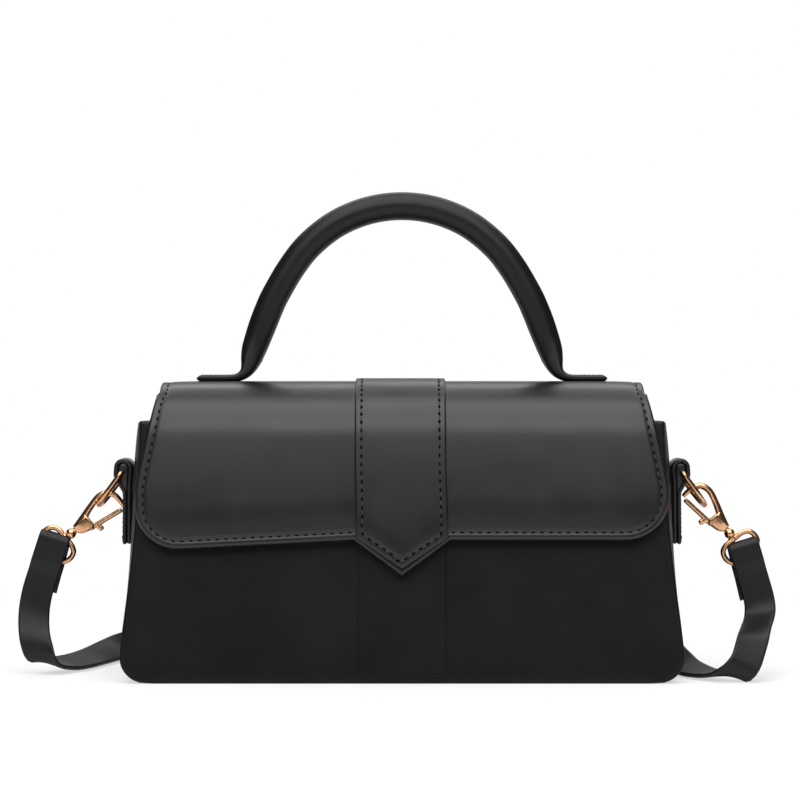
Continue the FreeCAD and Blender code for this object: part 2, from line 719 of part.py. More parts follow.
def fold_shape(hug):
    """The strap's end folded over the eye and sewn back on itself; hug is the loop's depth."""
    thick = size("strap_thickness")
    gap = size("hook_wire_radius") + size("fit_gap")
    outer = gap + thick
    length = size("fold_length")
    taper_end = hug + size("fold_taper")
    loop_side = [Vector(0, outer, -outer), Vector(0, outer, -hug)]
    half = loop_side + [Vector(0, thick, -taper_end), Vector(0, thick, -length)]
    other = [Vector(0, -point.y, point.z) for point in reversed(half)]
    crown = Part.Arc(other[-1], Vector(), half[0]).toShape()
    sides = half + other
    edges = [crown] + [Part.makeLine(first, second) for first, second in zip(sides, sides[1:])]
    body = Part.Face(Part.Wire(edges))
    slot = Part.makeBox(size("strap_width") + size("overrun"), 2 * gap, hug - thick,
                        Vector(-size("overrun") / 2, -gap, -hug))
    solid = body.extrude(Vector(size("strap_width"), 0, 0)).cut(slot)
    solid.translate(Vector(-size("strap_width") / 2, 0, 0))
    return solid


fold_ends = {}
fold_ways = {}
for label, side in SIDES:
    ring_place = Placement(Vector(ring_places[1].x, 0, ring_places[1].z),
                           Rotation(Y_AXIS, size("ring_droop")))
    keep_shape(label + "_d_ring", ring_shape(), turned(side) * ring_place)
    hook_droop = size(label + "_hook_droop")
    ball_place = Vector(size(label + "_ball_out"), 0, size("ball_height"))
    hook_place = Placement(ball_place, Rotation(Y_AXIS, hook_droop))
    for piece, shape in (("hook", hook_shape()), ("gate", gate_shape()),
                         ("gate_pin", pin_shape(size("pin_radius"))), ("swivel_eye", eye_shape())):
        keep_shape(f"{label}_{piece}", shape, turned(side) * hook_place)
    strap_droop = size(label + "_strap_droop")
    slant = math.radians(strap_droop - hook_droop)
    half_hug = size("hook_wire_radius") / math.cos(slant) + size("strap_width") / 2 * math.tan(slant)
    fold_drop = size("strap_thickness") + size("fit_gap") + half_hug
    down = Vector(math.cos(math.radians(strap_droop)), 0, -math.sin(math.radians(strap_droop)))
    fold_top = hook_place.multVec(Vector(size("eye_far"), 0, 0)) - down * fold_drop
    fold_place = Placement(fold_top, Rotation(Y_AXIS, strap_droop - 90))
    fold = fold_shape(fold_drop + half_hug + size("fit_gap"))
    fold.Placement = fold_place * fold.Placement
    eye_room = eye_shape(size("fit_gap"))
    eye_room.Placement = hook_place
    keep_shape(label + "_strap_fold", fold.cut(eye_room), turned(side))
    fold_end = fold_top + down * (size("fold_length") + size("fit_gap"))
    fold_ends[side] = turned(side).multVec(fold_end)
    fold_ways[side] = turned(side).multVec(down)

# Free stretches of the strap: hand-chosen points from each fold down to the floor and behind the bag

ROUTES = {
    -1: [
        Vector(-149.2, -2.5, 22.5), Vector(-147.8, -7, 13), Vector(-144.6, -6, 5.4),
        Vector(-138.2, 3, 3.5), Vector(-132.6, 13.5, 3.5), Vector(-128.2, 28, 3.9),
        Vector(-123.6, 43, 4.9), Vector(-118.5, 52.5, 6.4), Vector(-109.5, 56, 6.9),
        Vector(-100, 54.6, 6.6),
    ],
    1: [
        Vector(144.6, -4, 23.2), Vector(141.4, -14, 19.2), Vector(138.2, -29.5, 16.2),
        Vector(133.6, -38, 5), Vector(126, -29, 2.4), Vector(119.6, -20.5, 2.2), Vector(114, -10, 3.5),
        Vector(112, 3, 4.8), Vector(111.3, 15, 5.5), Vector(111.7, 29, 6), Vector(113.2, 42, 6.3),
        Vector(115, 56, 6.5), Vector(113.8, 70, 6.5), Vector(110, 82, 6.5), Vector(102.5, 91, 6.4),
    ],
}
ROLLS = {
    -1: [-17, -17, -17, -17, -17, -19, -23, -32, -40, -60, -82, -90],
    1: [-17, -14, -5, 12, 28, -2, -5, -14, -32, -44, -54, -68, -82, -90, -90, -90, -90],
}


def strap_section(point, along, side, roll):
    """The strap's flat section across its run; roll lifts its inner edge from level to upright."""
    angle = math.radians(roll)
    across = Vector(-side * math.cos(angle), 0, math.sin(angle))
    across = (across - along * across.dot(along)).normalize()
    normal = along.cross(across)
    half_wide = across * (size("strap_width") / 2)
    half_thick = normal * (size("strap_thickness") / 2)
    corners = [point + half_wide + half_thick, point - half_wide + half_thick,
               point - half_wide - half_thick, point + half_wide - half_thick]
    return Part.makePolygon(corners + corners[:1])


def strap_run(label, side, points, rolls):
    """One free stretch: flat sections along straight runs joined by the largest tangent arcs."""
    sections = [strap_section(points[0], fold_ways[side], side, rolls[0])]
    length = 0
    radii = []
    last = points[0]
    for index in range(1, len(points) - 1):
        before, corner, after = points[index - 1:index + 2]
        trim = ROUTE_TRIM_SHARE * min((corner - before).Length, (after - corner).Length)
        first, middle, end, radius = bend_at(before, corner, after, trim)
        radii.append(round(radius, 1))
        arriving = (corner - before).normalize()
        leaving = (after - corner).normalize()
        lead_share = trim / (corner - before).Length
        tail_share = trim / (after - corner).Length
        stations = (
            (first, arriving, rolls[index] + (rolls[index - 1] - rolls[index]) * lead_share),
            (middle, (end - first).normalize(), rolls[index]),
            (end, leaving, rolls[index] + (rolls[index + 1] - rolls[index]) * tail_share),
        )
        sections += [strap_section(point, along, side, roll) for point, along, roll in stations]
        length += (first - last).Length + radius * arriving.getAngle(leaving)
        last = end
    length += (points[-1] - last).Length
    sections.append(strap_section(points[-1], X_AXIS * -side, side, rolls[-1]))
    shape = Part.makeLoft(sections, True, True)
    expected = length * size("strap_width") * size("strap_thickness")
    print(f"{label}: length {length:.1f}, radii {radii}, volume share {shape.Volume / expected:.3f}")
    keep_shape(label, shape)


hank_half = size("hank_length") / 2
hank_ends = {
    -1: Vector(-hank_half, size("hank_start"), size("strap_width") / 2),
    1: Vector(hank_half, size("hank_start") + (HANK_RUNS - 1) * size("hank_pitch"), size("strap_width") / 2),
}
for label, side in SIDES:
    strap_run(label + "_strap_run", side, [fold_ends[side]] + ROUTES[side] + [hank_ends[side]], ROLLS[side])


# The rest of the strap, laid to and fro on its edge

def hank_line(offset):
    """One side of the band: runs joined by half turns, at an offset from its middle line."""
    edges = []
    turn_radius = size("hank_pitch") / 2
    for run in range(HANK_RUNS):
        way = 1 if run % 2 == 0 else -1
        y = size("hank_start") + run * size("hank_pitch") + way * offset
        start = Vector(-way * hank_half, y, 0)
        end = Vector(way * hank_half, y, 0)
        edges.append(Part.makeLine(start, end))
        if run < HANK_RUNS - 1:
            radius = turn_radius - way * offset
            centre = Vector(way * hank_half, size("hank_start") + (run + 1 / 2) * size("hank_pitch"), 0)
            crest = centre + X_AXIS * way * radius
            edges.append(Part.Arc(end, crest, centre + Vector(0, radius, 0)).toShape())
    return edges


half_band = size("strap_thickness") / 2
near_side = hank_line(-half_band)
far_side = hank_line(half_band)
closing = [
    Part.makeLine(near_side[0].Vertexes[0].Point, far_side[0].Vertexes[0].Point),
    Part.makeLine(near_side[-1].Vertexes[-1].Point, far_side[-1].Vertexes[-1].Point),
]
band_face = Part.Face(Part.Wire(Part.__sortEdges__(near_side + far_side + closing)))
keep_shape("strap_hank", band_face.extrude(Vector(0, 0, size("strap_width"))))
point_step = size("strap_width") / 2
band_points = [point for edge in hank_line(0) for point in edge.discretize(Distance=point_step)[:-1]]
skip = math.ceil(math.pi * size("hank_pitch") / size("strap_width")) + 1
self_gap = min((first - second).Length for index, first in enumerate(band_points)
               for second in band_points[index + skip:]) - size("strap_thickness")
hank_total = sum(edge.Length for edge in hank_line(0))
print(f"strap_hank: length {hank_total:.1f}, least gap to itself {self_gap:.2f}")

# Every object must have been made, and every piece must be a valid solid

doc.recompute()
for item in doc.Objects:
    if "Invalid" in item.State or "Error" in item.State:
        raise RuntimeError(f"{item.Name} failed: {item.State}")
for item in nodes:
    if item.Shape.isNull() or not item.Shape.isValid() or len(item.Shape.Solids) != 1:
        raise RuntimeError(f"{item.Label} is not one valid solid")
os.makedirs("parts", exist_ok=True)
for item in nodes:
    item.Shape.exportStep(f"parts/{item.Label}.step")
print(f"{len(nodes)} pieces; ring bar {ring_places[1]}, handle axis y {handle_y:.3f} z {pivot_height:.3f}")
print(f"hinge y {size('top_depth') / 2:.3f} z {number(HINGE_HEIGHT):.3f}, neck x {neck_out:.3f}")
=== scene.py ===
import math
from types import SimpleNamespace

import bmesh
import bpy
import numpy as np
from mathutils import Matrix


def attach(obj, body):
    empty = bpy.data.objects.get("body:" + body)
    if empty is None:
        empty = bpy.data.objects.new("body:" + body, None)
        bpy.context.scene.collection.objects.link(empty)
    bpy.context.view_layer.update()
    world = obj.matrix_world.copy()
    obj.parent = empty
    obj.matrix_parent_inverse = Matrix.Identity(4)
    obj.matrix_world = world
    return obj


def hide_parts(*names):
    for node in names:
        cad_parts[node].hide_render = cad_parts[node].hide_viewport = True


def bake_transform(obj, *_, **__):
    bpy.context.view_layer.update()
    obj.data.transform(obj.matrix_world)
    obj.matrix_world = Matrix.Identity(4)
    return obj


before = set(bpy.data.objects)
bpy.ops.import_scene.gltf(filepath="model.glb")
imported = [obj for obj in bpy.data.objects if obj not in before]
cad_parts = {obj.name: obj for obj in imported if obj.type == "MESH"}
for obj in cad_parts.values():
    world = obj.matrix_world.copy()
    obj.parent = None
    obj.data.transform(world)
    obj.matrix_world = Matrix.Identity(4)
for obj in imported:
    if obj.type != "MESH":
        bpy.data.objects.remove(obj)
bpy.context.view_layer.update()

# Studio: a level camera in front of the bag, white paper under and behind it, and a dim room in front.
# Five wide soft boxes hang in an arc from above the camera to behind the bag, for broad highlights.
MM = 0.001
scene = bpy.context.scene
scene.view_settings.view_transform = "Standard"


def put(name, data):
    """Link a new object at the origin."""
    item = bpy.data.objects.new(name, data)
    scene.collection.objects.link(item)
    return item


def linear(code):
    """An sRGB hex colour as linear RGBA."""
    shares = [int(code[start:start + 2], 16) / 255 for start in (1, 3, 5)]
    return [c / 12.92 if c <= 0.04045 else ((c + 0.055) / 1.055) ** 2.4 for c in shares] + [1.0]


def wire(tree, node, sockets):
    """Set a node's sockets to values, or link them from nodes' first outputs or (node, output) pairs."""
    for name, value in sockets.items():
        socket = next(item for item in node.inputs if name in (item.identifier, item.name))
        if isinstance(value, bpy.types.Node):
            tree.links.new(value.outputs[0], socket)
        elif isinstance(value, tuple) and isinstance(value[0], bpy.types.Node):
            source = next(item for item in value[0].outputs if value[1] in (item.identifier, item.name))
            tree.links.new(source, socket)
        else:
            socket.default_value = value


def add_node(tree, kind, sockets=None, **settings):
    """Add a node with its settings, values and links."""
    node = tree.nodes.new(kind)
    for name, value in settings.items():
        setattr(node, name, value)
    wire(tree, node, sockets or {})
    return node


def straight_view(tree):
    """1 where a ray comes straight from the eye, and 0 where it has bounced."""
    ray = add_node(tree, "ShaderNodeLightPath")
    return add_node(tree, "ShaderNodeMath", {
        "Value": (ray, "Is Camera Ray"), "Value_001": (ray, "Is Transmission Ray")}, operation="ADD")


camera = put("studio_camera", bpy.data.cameras.new("studio_camera"))
camera.location = (-0.8 * MM, -1040 * MM, 110.8 * MM)
camera.rotation_euler = (math.radians(90), 0, 0)
camera.data.lens = 115.4
scene.camera = camera

SOFT_BOXES = (
    ("low_box", (0, -1040, 680), (1500, 420), 1.4),
    ("front_box", (0, -890, 880), (1500, 560), 8.8),
    ("high_box", (0, -410, 1210), (1500, 560), 8.0),
    ("top_box", (0, 0, 1280), (1500, 500), 5.2),
    ("back_box", (0, 770, 1000), (1500, 400), 6.0),
)
AIM = (0, 0, 80)
for name, place, spread, watts in SOFT_BOXES:
    lamp = bpy.data.lights.new(name, "AREA")
    lamp.shape = "RECTANGLE"
    lamp.size = spread[0] * MM
    lamp.size_y = spread[1] * MM
    lamp.energy = watts
    box = put(name, lamp)
    box.location = [value * MM for value in place]
    toward = np.subtract(AIM, place)
    box.rotation_euler = (math.atan2(math.hypot(toward[0], toward[1]), -toward[2]), 0,
                          math.atan2(-toward[0], toward[1]))

ROOM_DIM = 0.05
ROOM_BACK = 1.0
BACK_WALL = (0.86, 0.97)
room = bpy.data.worlds.new("studio_room")
room.use_nodes = True
scene.world = room
tree = room.node_tree
facing = add_node(tree, "ShaderNodeTexCoord")
split = add_node(tree, "ShaderNodeSeparateXYZ", {"Vector": (facing, "Generated")})
glow = add_node(tree, "ShaderNodeMapRange", {
    "Value": (split, "Y"), "From Min": BACK_WALL[0], "From Max": BACK_WALL[1],
    "To Min": ROOM_DIM, "To Max": ROOM_BACK})
backdrop = add_node(tree, "ShaderNodeMath", {
    "Value": glow, "Value_001": straight_view(tree)}, operation="MAXIMUM")
wire(tree, tree.nodes["Background"], {"Strength": backdrop, "Color": linear("#ffffff")})

# The paper looks plain white, with a soft shade close to the bag.
FLOOR_HALF = 4000
SHADE_NEAR = 150
SHADE_FAR = 520
SHADE_SHARE = 0.4
GLOSS_SHARE = 0.12
floor_mesh = bpy.data.meshes.new("floor")
edge = FLOOR_HALF * MM
floor_mesh.from_pydata(
    [(-edge, -edge, 0), (edge, -edge, 0), (edge, edge, 0), (-edge, edge, 0)], [], [(0, 1, 2, 3)])
floor = put("floor", floor_mesh)
paper = bpy.data.materials.new("white_paper_sweep")
paper.use_nodes = True
tree = paper.node_tree
tree.nodes.clear()
spot = add_node(tree, "ShaderNodeTexCoord")
reach = add_node(tree, "ShaderNodeVectorMath", {"Vector": (spot, "Object")}, operation="LENGTH")
bleach = add_node(tree, "ShaderNodeMapRange", {
    "Value": (reach, "Value"), "From Min": SHADE_NEAR * MM, "From Max": SHADE_FAR * MM,
    "To Min": 1 - SHADE_SHARE, "To Max": 1.0})
ray = add_node(tree, "ShaderNodeLightPath")
mirrored = add_node(tree, "ShaderNodeMath", {
    "Value": (ray, "Is Glossy Ray"), "Value_001": GLOSS_SHARE}, operation="MULTIPLY")
seen = add_node(tree, "ShaderNodeMath", {
    "Value": straight_view(tree), "Value_001": mirrored}, operation="ADD", use_clamp=True)
bleach = add_node(tree, "ShaderNodeMath", {"Value": bleach, "Value_001": seen}, operation="MULTIPLY")
matt = add_node(tree, "ShaderNodeBsdfDiffuse", {"Color": linear("#f4f4f4")})
white = add_node(tree, "ShaderNodeEmission", {"Color": linear("#ffffff"), "Strength": 1.0})
sweep = add_node(tree, "ShaderNodeMixShader", {"Fac": bleach, "Shader": matt, "Shader_001": white})
add_node(tree, "ShaderNodeOutputMaterial", {"Surface": sweep})
floor_mesh.materials.append(paper)

# Strap: one long flat strap of coated leather, 12.5 mm wide, with rounded edges. It hangs from both
# clasps, lies on its edge on the table, and its spare length is folded to and fro behind the bag.
STRAP_WIDTH = 12.5
STRAP_THICK = 1.8
STRAP_ROLL = 0.8
NEAR_EDGE = (0.06, 0.18, 0.36, 0.6, 0.9, 1.3, 1.8, 2.3, 2.8, 3.3, 3.9, 4.8, 6.2, 8.5)


def new_surface(name):
    """A new material, its node tree and the places that its patterns are laid out by."""
    material = bpy.data.materials.new(name)
    material.use_nodes = True
    return material, material.node_tree, (add_node(material.node_tree, "ShaderNodeTexCoord"), "Object")


def finish_surface(material, share, colours, height, strength, depth, sockets):
    """Wire in two colours mixed by a share, a bump of a depth in millimetres and further sockets."""
    tree = material.node_tree
    colour = add_node(tree, "ShaderNodeMix", {
        "Factor_Float": share, "A_Color": linear(colours[0]), "B_Color": linear(colours[1])}, data_type="RGBA")
    bump = add_node(tree, "ShaderNodeBump", {"Height": height, "Strength": strength, "Distance": depth * MM})
    wire(tree, tree.nodes["Principled BSDF"], {
        "Base Color": (colour, "Result_Color"), "Normal": bump, **sockets})
    return material


def coated_leather(name, film, worn, roughness, shine=0.5):
    """Polyurethane-coated leather: an even film over pebbles of 0.8 mm, paler where edges are rubbed."""
    material, tree, places = new_surface(name)
    mottle = add_node(tree, "ShaderNodeTexNoise", {
        "Vector": places, "Scale": 1 / (22 * MM), "Detail": 4.0, "Roughness": 0.6})
    pores = add_node(tree, "ShaderNodeTexNoise", {"Vector": places, "Scale": 1 / (0.3 * MM), "Detail": 2.0})
    pebbles = add_node(tree, "ShaderNodeTexVoronoi", {
        "Vector": places, "Scale": 1 / (0.8 * MM), "Smoothness": 0.6}, feature="SMOOTH_F1")
    shape = add_node(tree, "ShaderNodeNewGeometry")
    rubbed = add_node(tree, "ShaderNodeMapRange", {
        "Value": (shape, "Pointiness"), "From Min": 0.51, "From Max": 0.6, "To Min": 0.0, "To Max": 0.7})
    patchy = add_node(tree, "ShaderNodeMapRange", {
        "Value": mottle, "From Min": 0.3, "From Max": 0.7, "To Min": 0.0, "To Max": 0.15})
    worn_share = add_node(tree, "ShaderNodeMath", {
        "Value": rubbed, "Value_001": patchy}, operation="ADD", use_clamp=True)
    gloss = add_node(tree, "ShaderNodeMapRange", {
        "Value": mottle, "From Min": 0.3, "From Max": 0.7,
        "To Min": roughness - 0.04, "To Max": roughness + 0.04})
    grain = add_node(tree, "ShaderNodeMath", {"Value": pebbles, "Value_001": pores}, operation="ADD")
    return finish_surface(material, worn_share, (film, worn), grain, 0.12, 0.05, {
        "Roughness": gloss, "Specular IOR Level": shine})


def stations(breaks, step, span, last=None):
    """Shares of a span: crowded near each break, and evenly spread between them."""
    places = set(breaks)
    for start, end in zip(breaks, breaks[1:]):
        close = [gap / span for gap in NEAR_EDGE[:last] if gap / span < (end - start) / 2]
        edge = close[-1] if close else 0
        count = max(2, round((end - start - 2 * edge) / step) + 1)
        places.update(start + gap for gap in close)
        places.update(end - gap for gap in close)
        places.update(np.linspace(start + edge, end - edge, count))
    return np.array(sorted({round(float(place), 4) for place in places}))


def shade_smooth(data):
    """Round off the look of a mesh's faces."""
    data.polygons.foreach_set("use_smooth", [True] * len(data.polygons))


def worked_out(item):
    """The mesh that an object's modifiers or spline give; the object is removed."""
    data = bpy.data.meshes.new_from_object(item.evaluated_get(bpy.context.evaluated_depsgraph_get()))
    bpy.data.objects.remove(item)
    return data


def mesh_piece(name, points, faces, material):
    """A smooth-shaded piece from millimetre points, with its loose points removed and its faces outwards."""
    data = bpy.data.meshes.new(name)
    data.from_pydata((np.asarray(points) * MM).tolist(), [], faces)
    form = bmesh.new()
    form.from_mesh(data)
    bmesh.ops.delete(form, geom=[vert for vert in form.verts if not vert.link_faces], context="VERTS")
    bmesh.ops.recalc_face_normals(form, faces=form.faces)
    form.to_mesh(data)
    form.free()
    shade_smooth(data)
    data.materials.append(material)
    return put(name, data)


def rim_distance(points, rim):
    """How far each flat point is from a closed outline."""
    least = np.full(len(points), np.inf)
    for start, end in zip(rim, np.roll(rim, -1, axis=0)):
        along = end - start
        share = np.clip((points - start) @ along / max(along @ along, 1e-12), 0, 1)
        least = np.minimum(least, np.linalg.norm(points - start - share[:, None] * along, axis=1))
    return least


def leather_sheet(name, across, along, outline, place, thick, roll, material, relief=None):
    """A closed sheet with rolled edges; outline turns shares into flat places, and place bends those."""
    shares = np.meshgrid(across, along)
    x, run = outline(*shares)
    flat = np.stack([x, run], axis=-1)
    rim = np.concatenate([flat[0], flat[1:, -1], flat[-1, -2::-1], flat[-2:0:-1, 0]])
    depth = thick(x, run) if callable(thick) else np.full_like(x, thick)
    inside = rim_distance(flat.reshape(-1, 2), rim).reshape(x.shape)
    drop = depth / 2 * (1 - np.sqrt(1 - (1 - np.clip(inside / roll, 0, 1)) ** 2))
    rise = relief(x, run, inside) if relief else np.zeros_like(x)
    outer = place(x, run, rise - drop)
    inner = place(x, run, drop - depth)
    rows, columns = x.shape
    top = np.arange(rows * columns).reshape(rows, columns)
    under = top + rows * columns
    for edge in (np.s_[0, :], np.s_[-1, :], np.s_[:, 0], np.s_[:, -1]):
        under[edge] = top[edge]
    faces = []
    for grid, order in ((top, 1), (under, -1)):
        quads = np.stack([grid[:-1, :-1], grid[:-1, 1:], grid[1:, 1:], grid[1:, :-1]], axis=-1)
        faces += quads.reshape(-1, 4)[:, ::order].tolist()
    points = np.concatenate([outer.reshape(-1, 3), inner.reshape(-1, 3)])
    piece = mesh_piece(name, points, faces, material)
    return SimpleNamespace(piece=piece, rim=rim, place=place, relief=relief)


def unit(vectors):
    """Vectors drawn out or in to a length of 1."""
    return vectors / np.linalg.norm(vectors, axis=-1, keepdims=True)


def even_line(points, step, fine=None, axes=3):
    """A line resampled to even steps, or to finer ones along its first part; further columns go along."""
    points = np.asarray(points, float)
    gaps = np.linalg.norm(np.diff(points[:, :axes], axis=0), axis=1)
    lengths = np.concatenate([[0], np.cumsum(gaps)])
    spans = [(0, *fine), (fine[0], lengths[-1], step)] if fine else [(0, lengths[-1], step)]
    places = np.unique(np.concatenate([
        np.linspace(first, last, max(2, round((last - first) / gap) + 1)) for first, last, gap in spans]))
    even = np.stack([np.interp(places, lengths, column) for column in points.T], axis=-1)
    ways = unit(np.gradient(even[:, :axes], places, axis=0))
    total = places[-1]
    return SimpleNamespace(lengths=places, shares=places / total, points=even, ways=ways, total=total)


def at(line, run, field):
    """A line's points or directions at lengths along it."""
    return np.stack([np.interp(run, line.lengths, column) for column in getattr(line, field).T], axis=-1)


def bent_line(corners, radii):
    """Straight runs joined by arcs, as points in a plane."""
    corners = np.asarray(corners, float)
    points = [corners[0]]
    for before, corner, after, radius in zip(corners, corners[1:], corners[2:], radii):
        arriving = unit(corner - before)
        leaving = unit(after - corner)
        half_turn = math.acos(np.clip(arriving @ leaving, -1, 1)) / 2
        inward = unit(leaving - arriving)
        onward = unit(leaving + arriving)
        centre = corner + inward * radius / math.cos(half_turn)
        for angle in np.linspace(-half_turn, half_turn, 19):
            points.append(centre + radius * (math.sin(angle) * onward - math.cos(angle) * inward))
    return np.array(points + [corners[-1]])


def wrapped(line, upright):
    """Bends flat places round a line that lies in Y and Z if upright, or else in X and Z."""
    def place(across, run, lift):
        spot = at(line, run, "points")
        way = at(line, run, "ways")
        first = spot[..., 0] + way[..., 1] * lift
        second = spot[..., 1] - way[..., 0] * lift
        return np.stack([across, first, second] if upright else [first, across, second], axis=-1)
    return place


def strap_route(name, points, rolls):
    """The strap's middle line as a NURBS spline of control points, with the roll at each place."""
    data = bpy.data.curves.new(name, "CURVE")
    data.dimensions = "3D"
    data.resolution_u = 14
    spline = data.splines.new("NURBS")
    spline.points.add(len(points) - 1)
    for point, place in zip(spline.points, points):
        point.co = [value * MM for value in place] + [1]
    spline.order_u = 3
    spline.use_endpoint_u = True
    route = put(name, data)
    line = np.array([vert.co for vert in worked_out(route).vertices]) / MM
    spans = len(points) - 2
    knots = np.concatenate([[0], np.arange(spans) + 0.5, [spans]])
    return np.column_stack([line, np.interp(np.linspace(0, spans, len(line)), knots, rolls)])


def strap_band(name, line, side, material):
    """A flat band along a line; the line's fourth column is the roll that lifts its inner edge."""
    turn = np.radians(line.points[:, 3])
    across = np.stack([-side * np.cos(turn), np.zeros_like(turn), np.sin(turn)], axis=-1)
    line.across = unit(across - line.ways * np.sum(across * line.ways, axis=1, keepdims=True))
    line.up = np.cross(line.ways, line.across)

    def place(x, run, lift):
        spread = x[..., None] * at(line, run, "across")
        raised = (lift + STRAP_THICK / 2)[..., None] * at(line, run, "up")
        return at(line, run, "points")[..., :3] + spread + raised

    return leather_sheet(
        name, stations([-1, 1], 0.4, STRAP_WIDTH / 2, 7), line.shares,
        lambda s, t: (s * STRAP_WIDTH / 2, t * line.total), place, STRAP_THICK, STRAP_ROLL, material)


strap_leather = coated_leather("black_strap_leather", "#0d0d0e", "#1f1f20", 0.46, 0.3)
FOLD_LENGTH = 26.0
FOLD_TAIL = 24.0
FOLD_HALF = 2.3
FOLD_CROWN = 0.9
FOLD_BEND = 5
SEWN_HALF = 0.95
TAIL_STEP = 1.3
FOLDS = {
    -1: ("left", (-140.04, 57.06), 72.0, 13.04),
    1: ("right", (137.72, 54.08), 73.5, 9.9),
}
FOLD_ENDS = {-1: (-148.16, -0.95, 32.05), 1: (145.19, -0.95, 28.86)}
ROUTES = {
    -1: [(-149.2, -2.5, 22.5), (-147.8, -7, 13), (-144.6, -6, 5.4), (-138.2, 3, 3.5), (-132.6, 13.5, 3.5),
         (-128.2, 28, 3.9), (-123.6, 43, 4.9), (-118.5, 52.5, 6.4), (-109.5, 56, 6.9), (-100, 54.6, 6.6),
         (-92, 54, 6.3)],
    1: [(144.6, -4, 23.2), (141.4, -14, 19.2), (138.2, -29.5, 16.2), (133.6, -38, 5), (126, -29, 2.4),
        (119.6, -20.5, 2.2), (114, -10, 3.5), (112, 3, 4.8), (111.3, 15, 5.5), (111.7, 29, 6),
        (113.2, 42, 6.3), (115, 56, 6.5), (113.8, 70, 6.5), (110, 82, 6.5), (102.5, 91, 6.4),
        (92, 94, 6.3), (-89.6, 94, 6.3), (-99.5, 93.8, 6.3), (-99.4, 83.9, 6.3), (-89.5, 84.1, 6.3),
        (89.4, 84, 6.3), (99.3, 84.1, 6.3), (99.6, 74.1, 6.3), (89.6, 74, 6.3),
        (-89.5, 74.1, 6.3), (-99.6, 74, 6.3), (-99.3, 64.2, 6.3), (-89.4, 64.1, 6.3),
        (89.7, 64.2, 6.3), (99.7, 64, 6.3), (99.4, 54.2, 6.3), (89.5, 54.3, 6.3), (-92, 54, 6.3)],
}
ROLLS = {
    -1: [-17, -17, -17, -17, -17, -19, -23, -32, -40, -60, -82, -90],
    1: [-17, -14, -5, 12, 28, -2, -5, -14, -32, -44, -54, -68, -82] + [-90] * 21,
}
BENDS = {
    -1: ((-110, 48, 6.5), (-146.3, 27.5, 47.5)),
    1: ((116, 12, 6.8), (141.1, 6.4, 33.9)),
}
TIE_HALF = 5.0
TIE_THICK = 0.8
TIE_BEND = 2.2
tie_line = even_line(bent_line(
    [(82, 13.5), (51.7, 13.5), (51.7, 0.05), (96.7, 0.05), (96.7, 13.7), (88, 13.9), (64, 14.35)],
    [TIE_BEND] * 4 + [8]), 0.6)
tie = leather_sheet(
    "hank_tie", stations([-1, 1], 0.25, TIE_HALF, 7), tie_line.shares,
    lambda s, t: (s * TIE_HALF, t * tie_line.total), wrapped(tie_line, True), TIE_THICK, 0.6, strap_leather)
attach(tie.piece, "bag")
for side, (label, top, droop, hug) in FOLDS.items():
    down = np.array([side * math.cos(math.radians(droop)), 0, -math.sin(math.radians(droop))])
    width_way = np.array([down[2] * side, 0, -down[0] * side])
    over = [(hug + 4, SEWN_HALF), (hug - 0.5, FOLD_HALF), (FOLD_CROWN, FOLD_HALF)]
    under = [(along, -out) for along, out in over[::-1]]
    turned = bent_line([(FOLD_TAIL, SEWN_HALF)] + over + under + [(FOLD_LENGTH - 5, -SEWN_HALF)],
                       [FOLD_BEND] * 2 + [FOLD_HALF - 0.01] * 2 + [FOLD_BEND] * 2)
    shift = TAIL_STEP * np.clip(turned[:, :1] / FOLD_TAIL, 0, 1) * (turned[:, 1:] > 0)
    ahead = np.array([top[0], 0, top[1]]) + turned[:, :1] * down + shift * width_way
    ahead[:, 1] += turned[:, 1]
    drawn = strap_route(
        label + "_route", [ahead[-1], FOLD_ENDS[side]] + ROUTES[side], ROLLS[side][:1] + ROLLS[side])
    whole = np.concatenate([np.column_stack([ahead, np.full(len(ahead), ROLLS[side][0])])[:-1], drawn])
    line = even_line(whole, 1.8, (75, 0.45))
    strap = strap_band(label + "_strap", line, side, strap_leather)
    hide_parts(label + "_strap_run", label + "_strap_fold",
                *(["strap_hank"] if side > 0 else []))
    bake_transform(strap.piece, "bag", label + "_clasp", start=[value * MM for value in BENDS[side][0]],
             end=[value * MM for value in BENDS[side][1]])

# Body shell: a front and a back panel of coated leather that lean in to the mouth, sewn to a folded base
# and to two bulging side gussets. The panels' and gussets' upper edges are turned in as a facing.
BASE_HALF = 110.6
BODY_HEIGHT = 102.5
BODY_FLARE = np.polyfit([0, 13, 21, 28.7, 36.5, 44, 52, 60, 75, 90, 102.5],
                        [110.8, 110.3, 109.5, 108.7, 107.7, 106.8, 105.95, 105.3, 104.6, 104.2, 104.0], 4)
BASE_DEPTH = 40.0
DEPTH_LEAN = 15.0
BODY_CORNER = 11.0
LEATHER = 1.6
LEATHER_ROLL = 1.1
FACING_DEPTH = 4.4
FACING_FROM = 87.0
LEAN = math.atan2(DEPTH_LEAN, BODY_HEIGHT)
PANEL_LIFT = LEATHER * math.sin(LEAN)
PANEL_TALL = BODY_HEIGHT / math.cos(LEAN)
PANEL_PILLOW = {-1: 0.5, 1: 0.3}
BASE_SEAM = 1.9
BASE_SEAM_DEEP = 0.22
BASE_SEAM_TOP = 90
# The panels, gussets and base use the flap's leather with a darker film and less shine: painted shade on the
# body, not a different leather.
painted_shade_body_leather = coated_leather("black_body_leather", "#0b0b0c", "#1b1b1c", 0.42, 0.2)


def smooth(value, start, end):
    """A soft step from 0 to 1."""
    share = np.clip((value - start) / (end - start), 0, 1)
    return share * share * (3 - 2 * share)


def groove(inside, middle, width):
    """A soft groove round a sheet, from 0 to 1, at a distance in from its edge."""
    return np.exp(-((inside - middle) / width) ** 2)


def in_facing(run):
    """0 below the turned-in facing, and 1 along it."""
    return smooth(run, FACING_FROM - 0.8, FACING_FROM + 0.8)


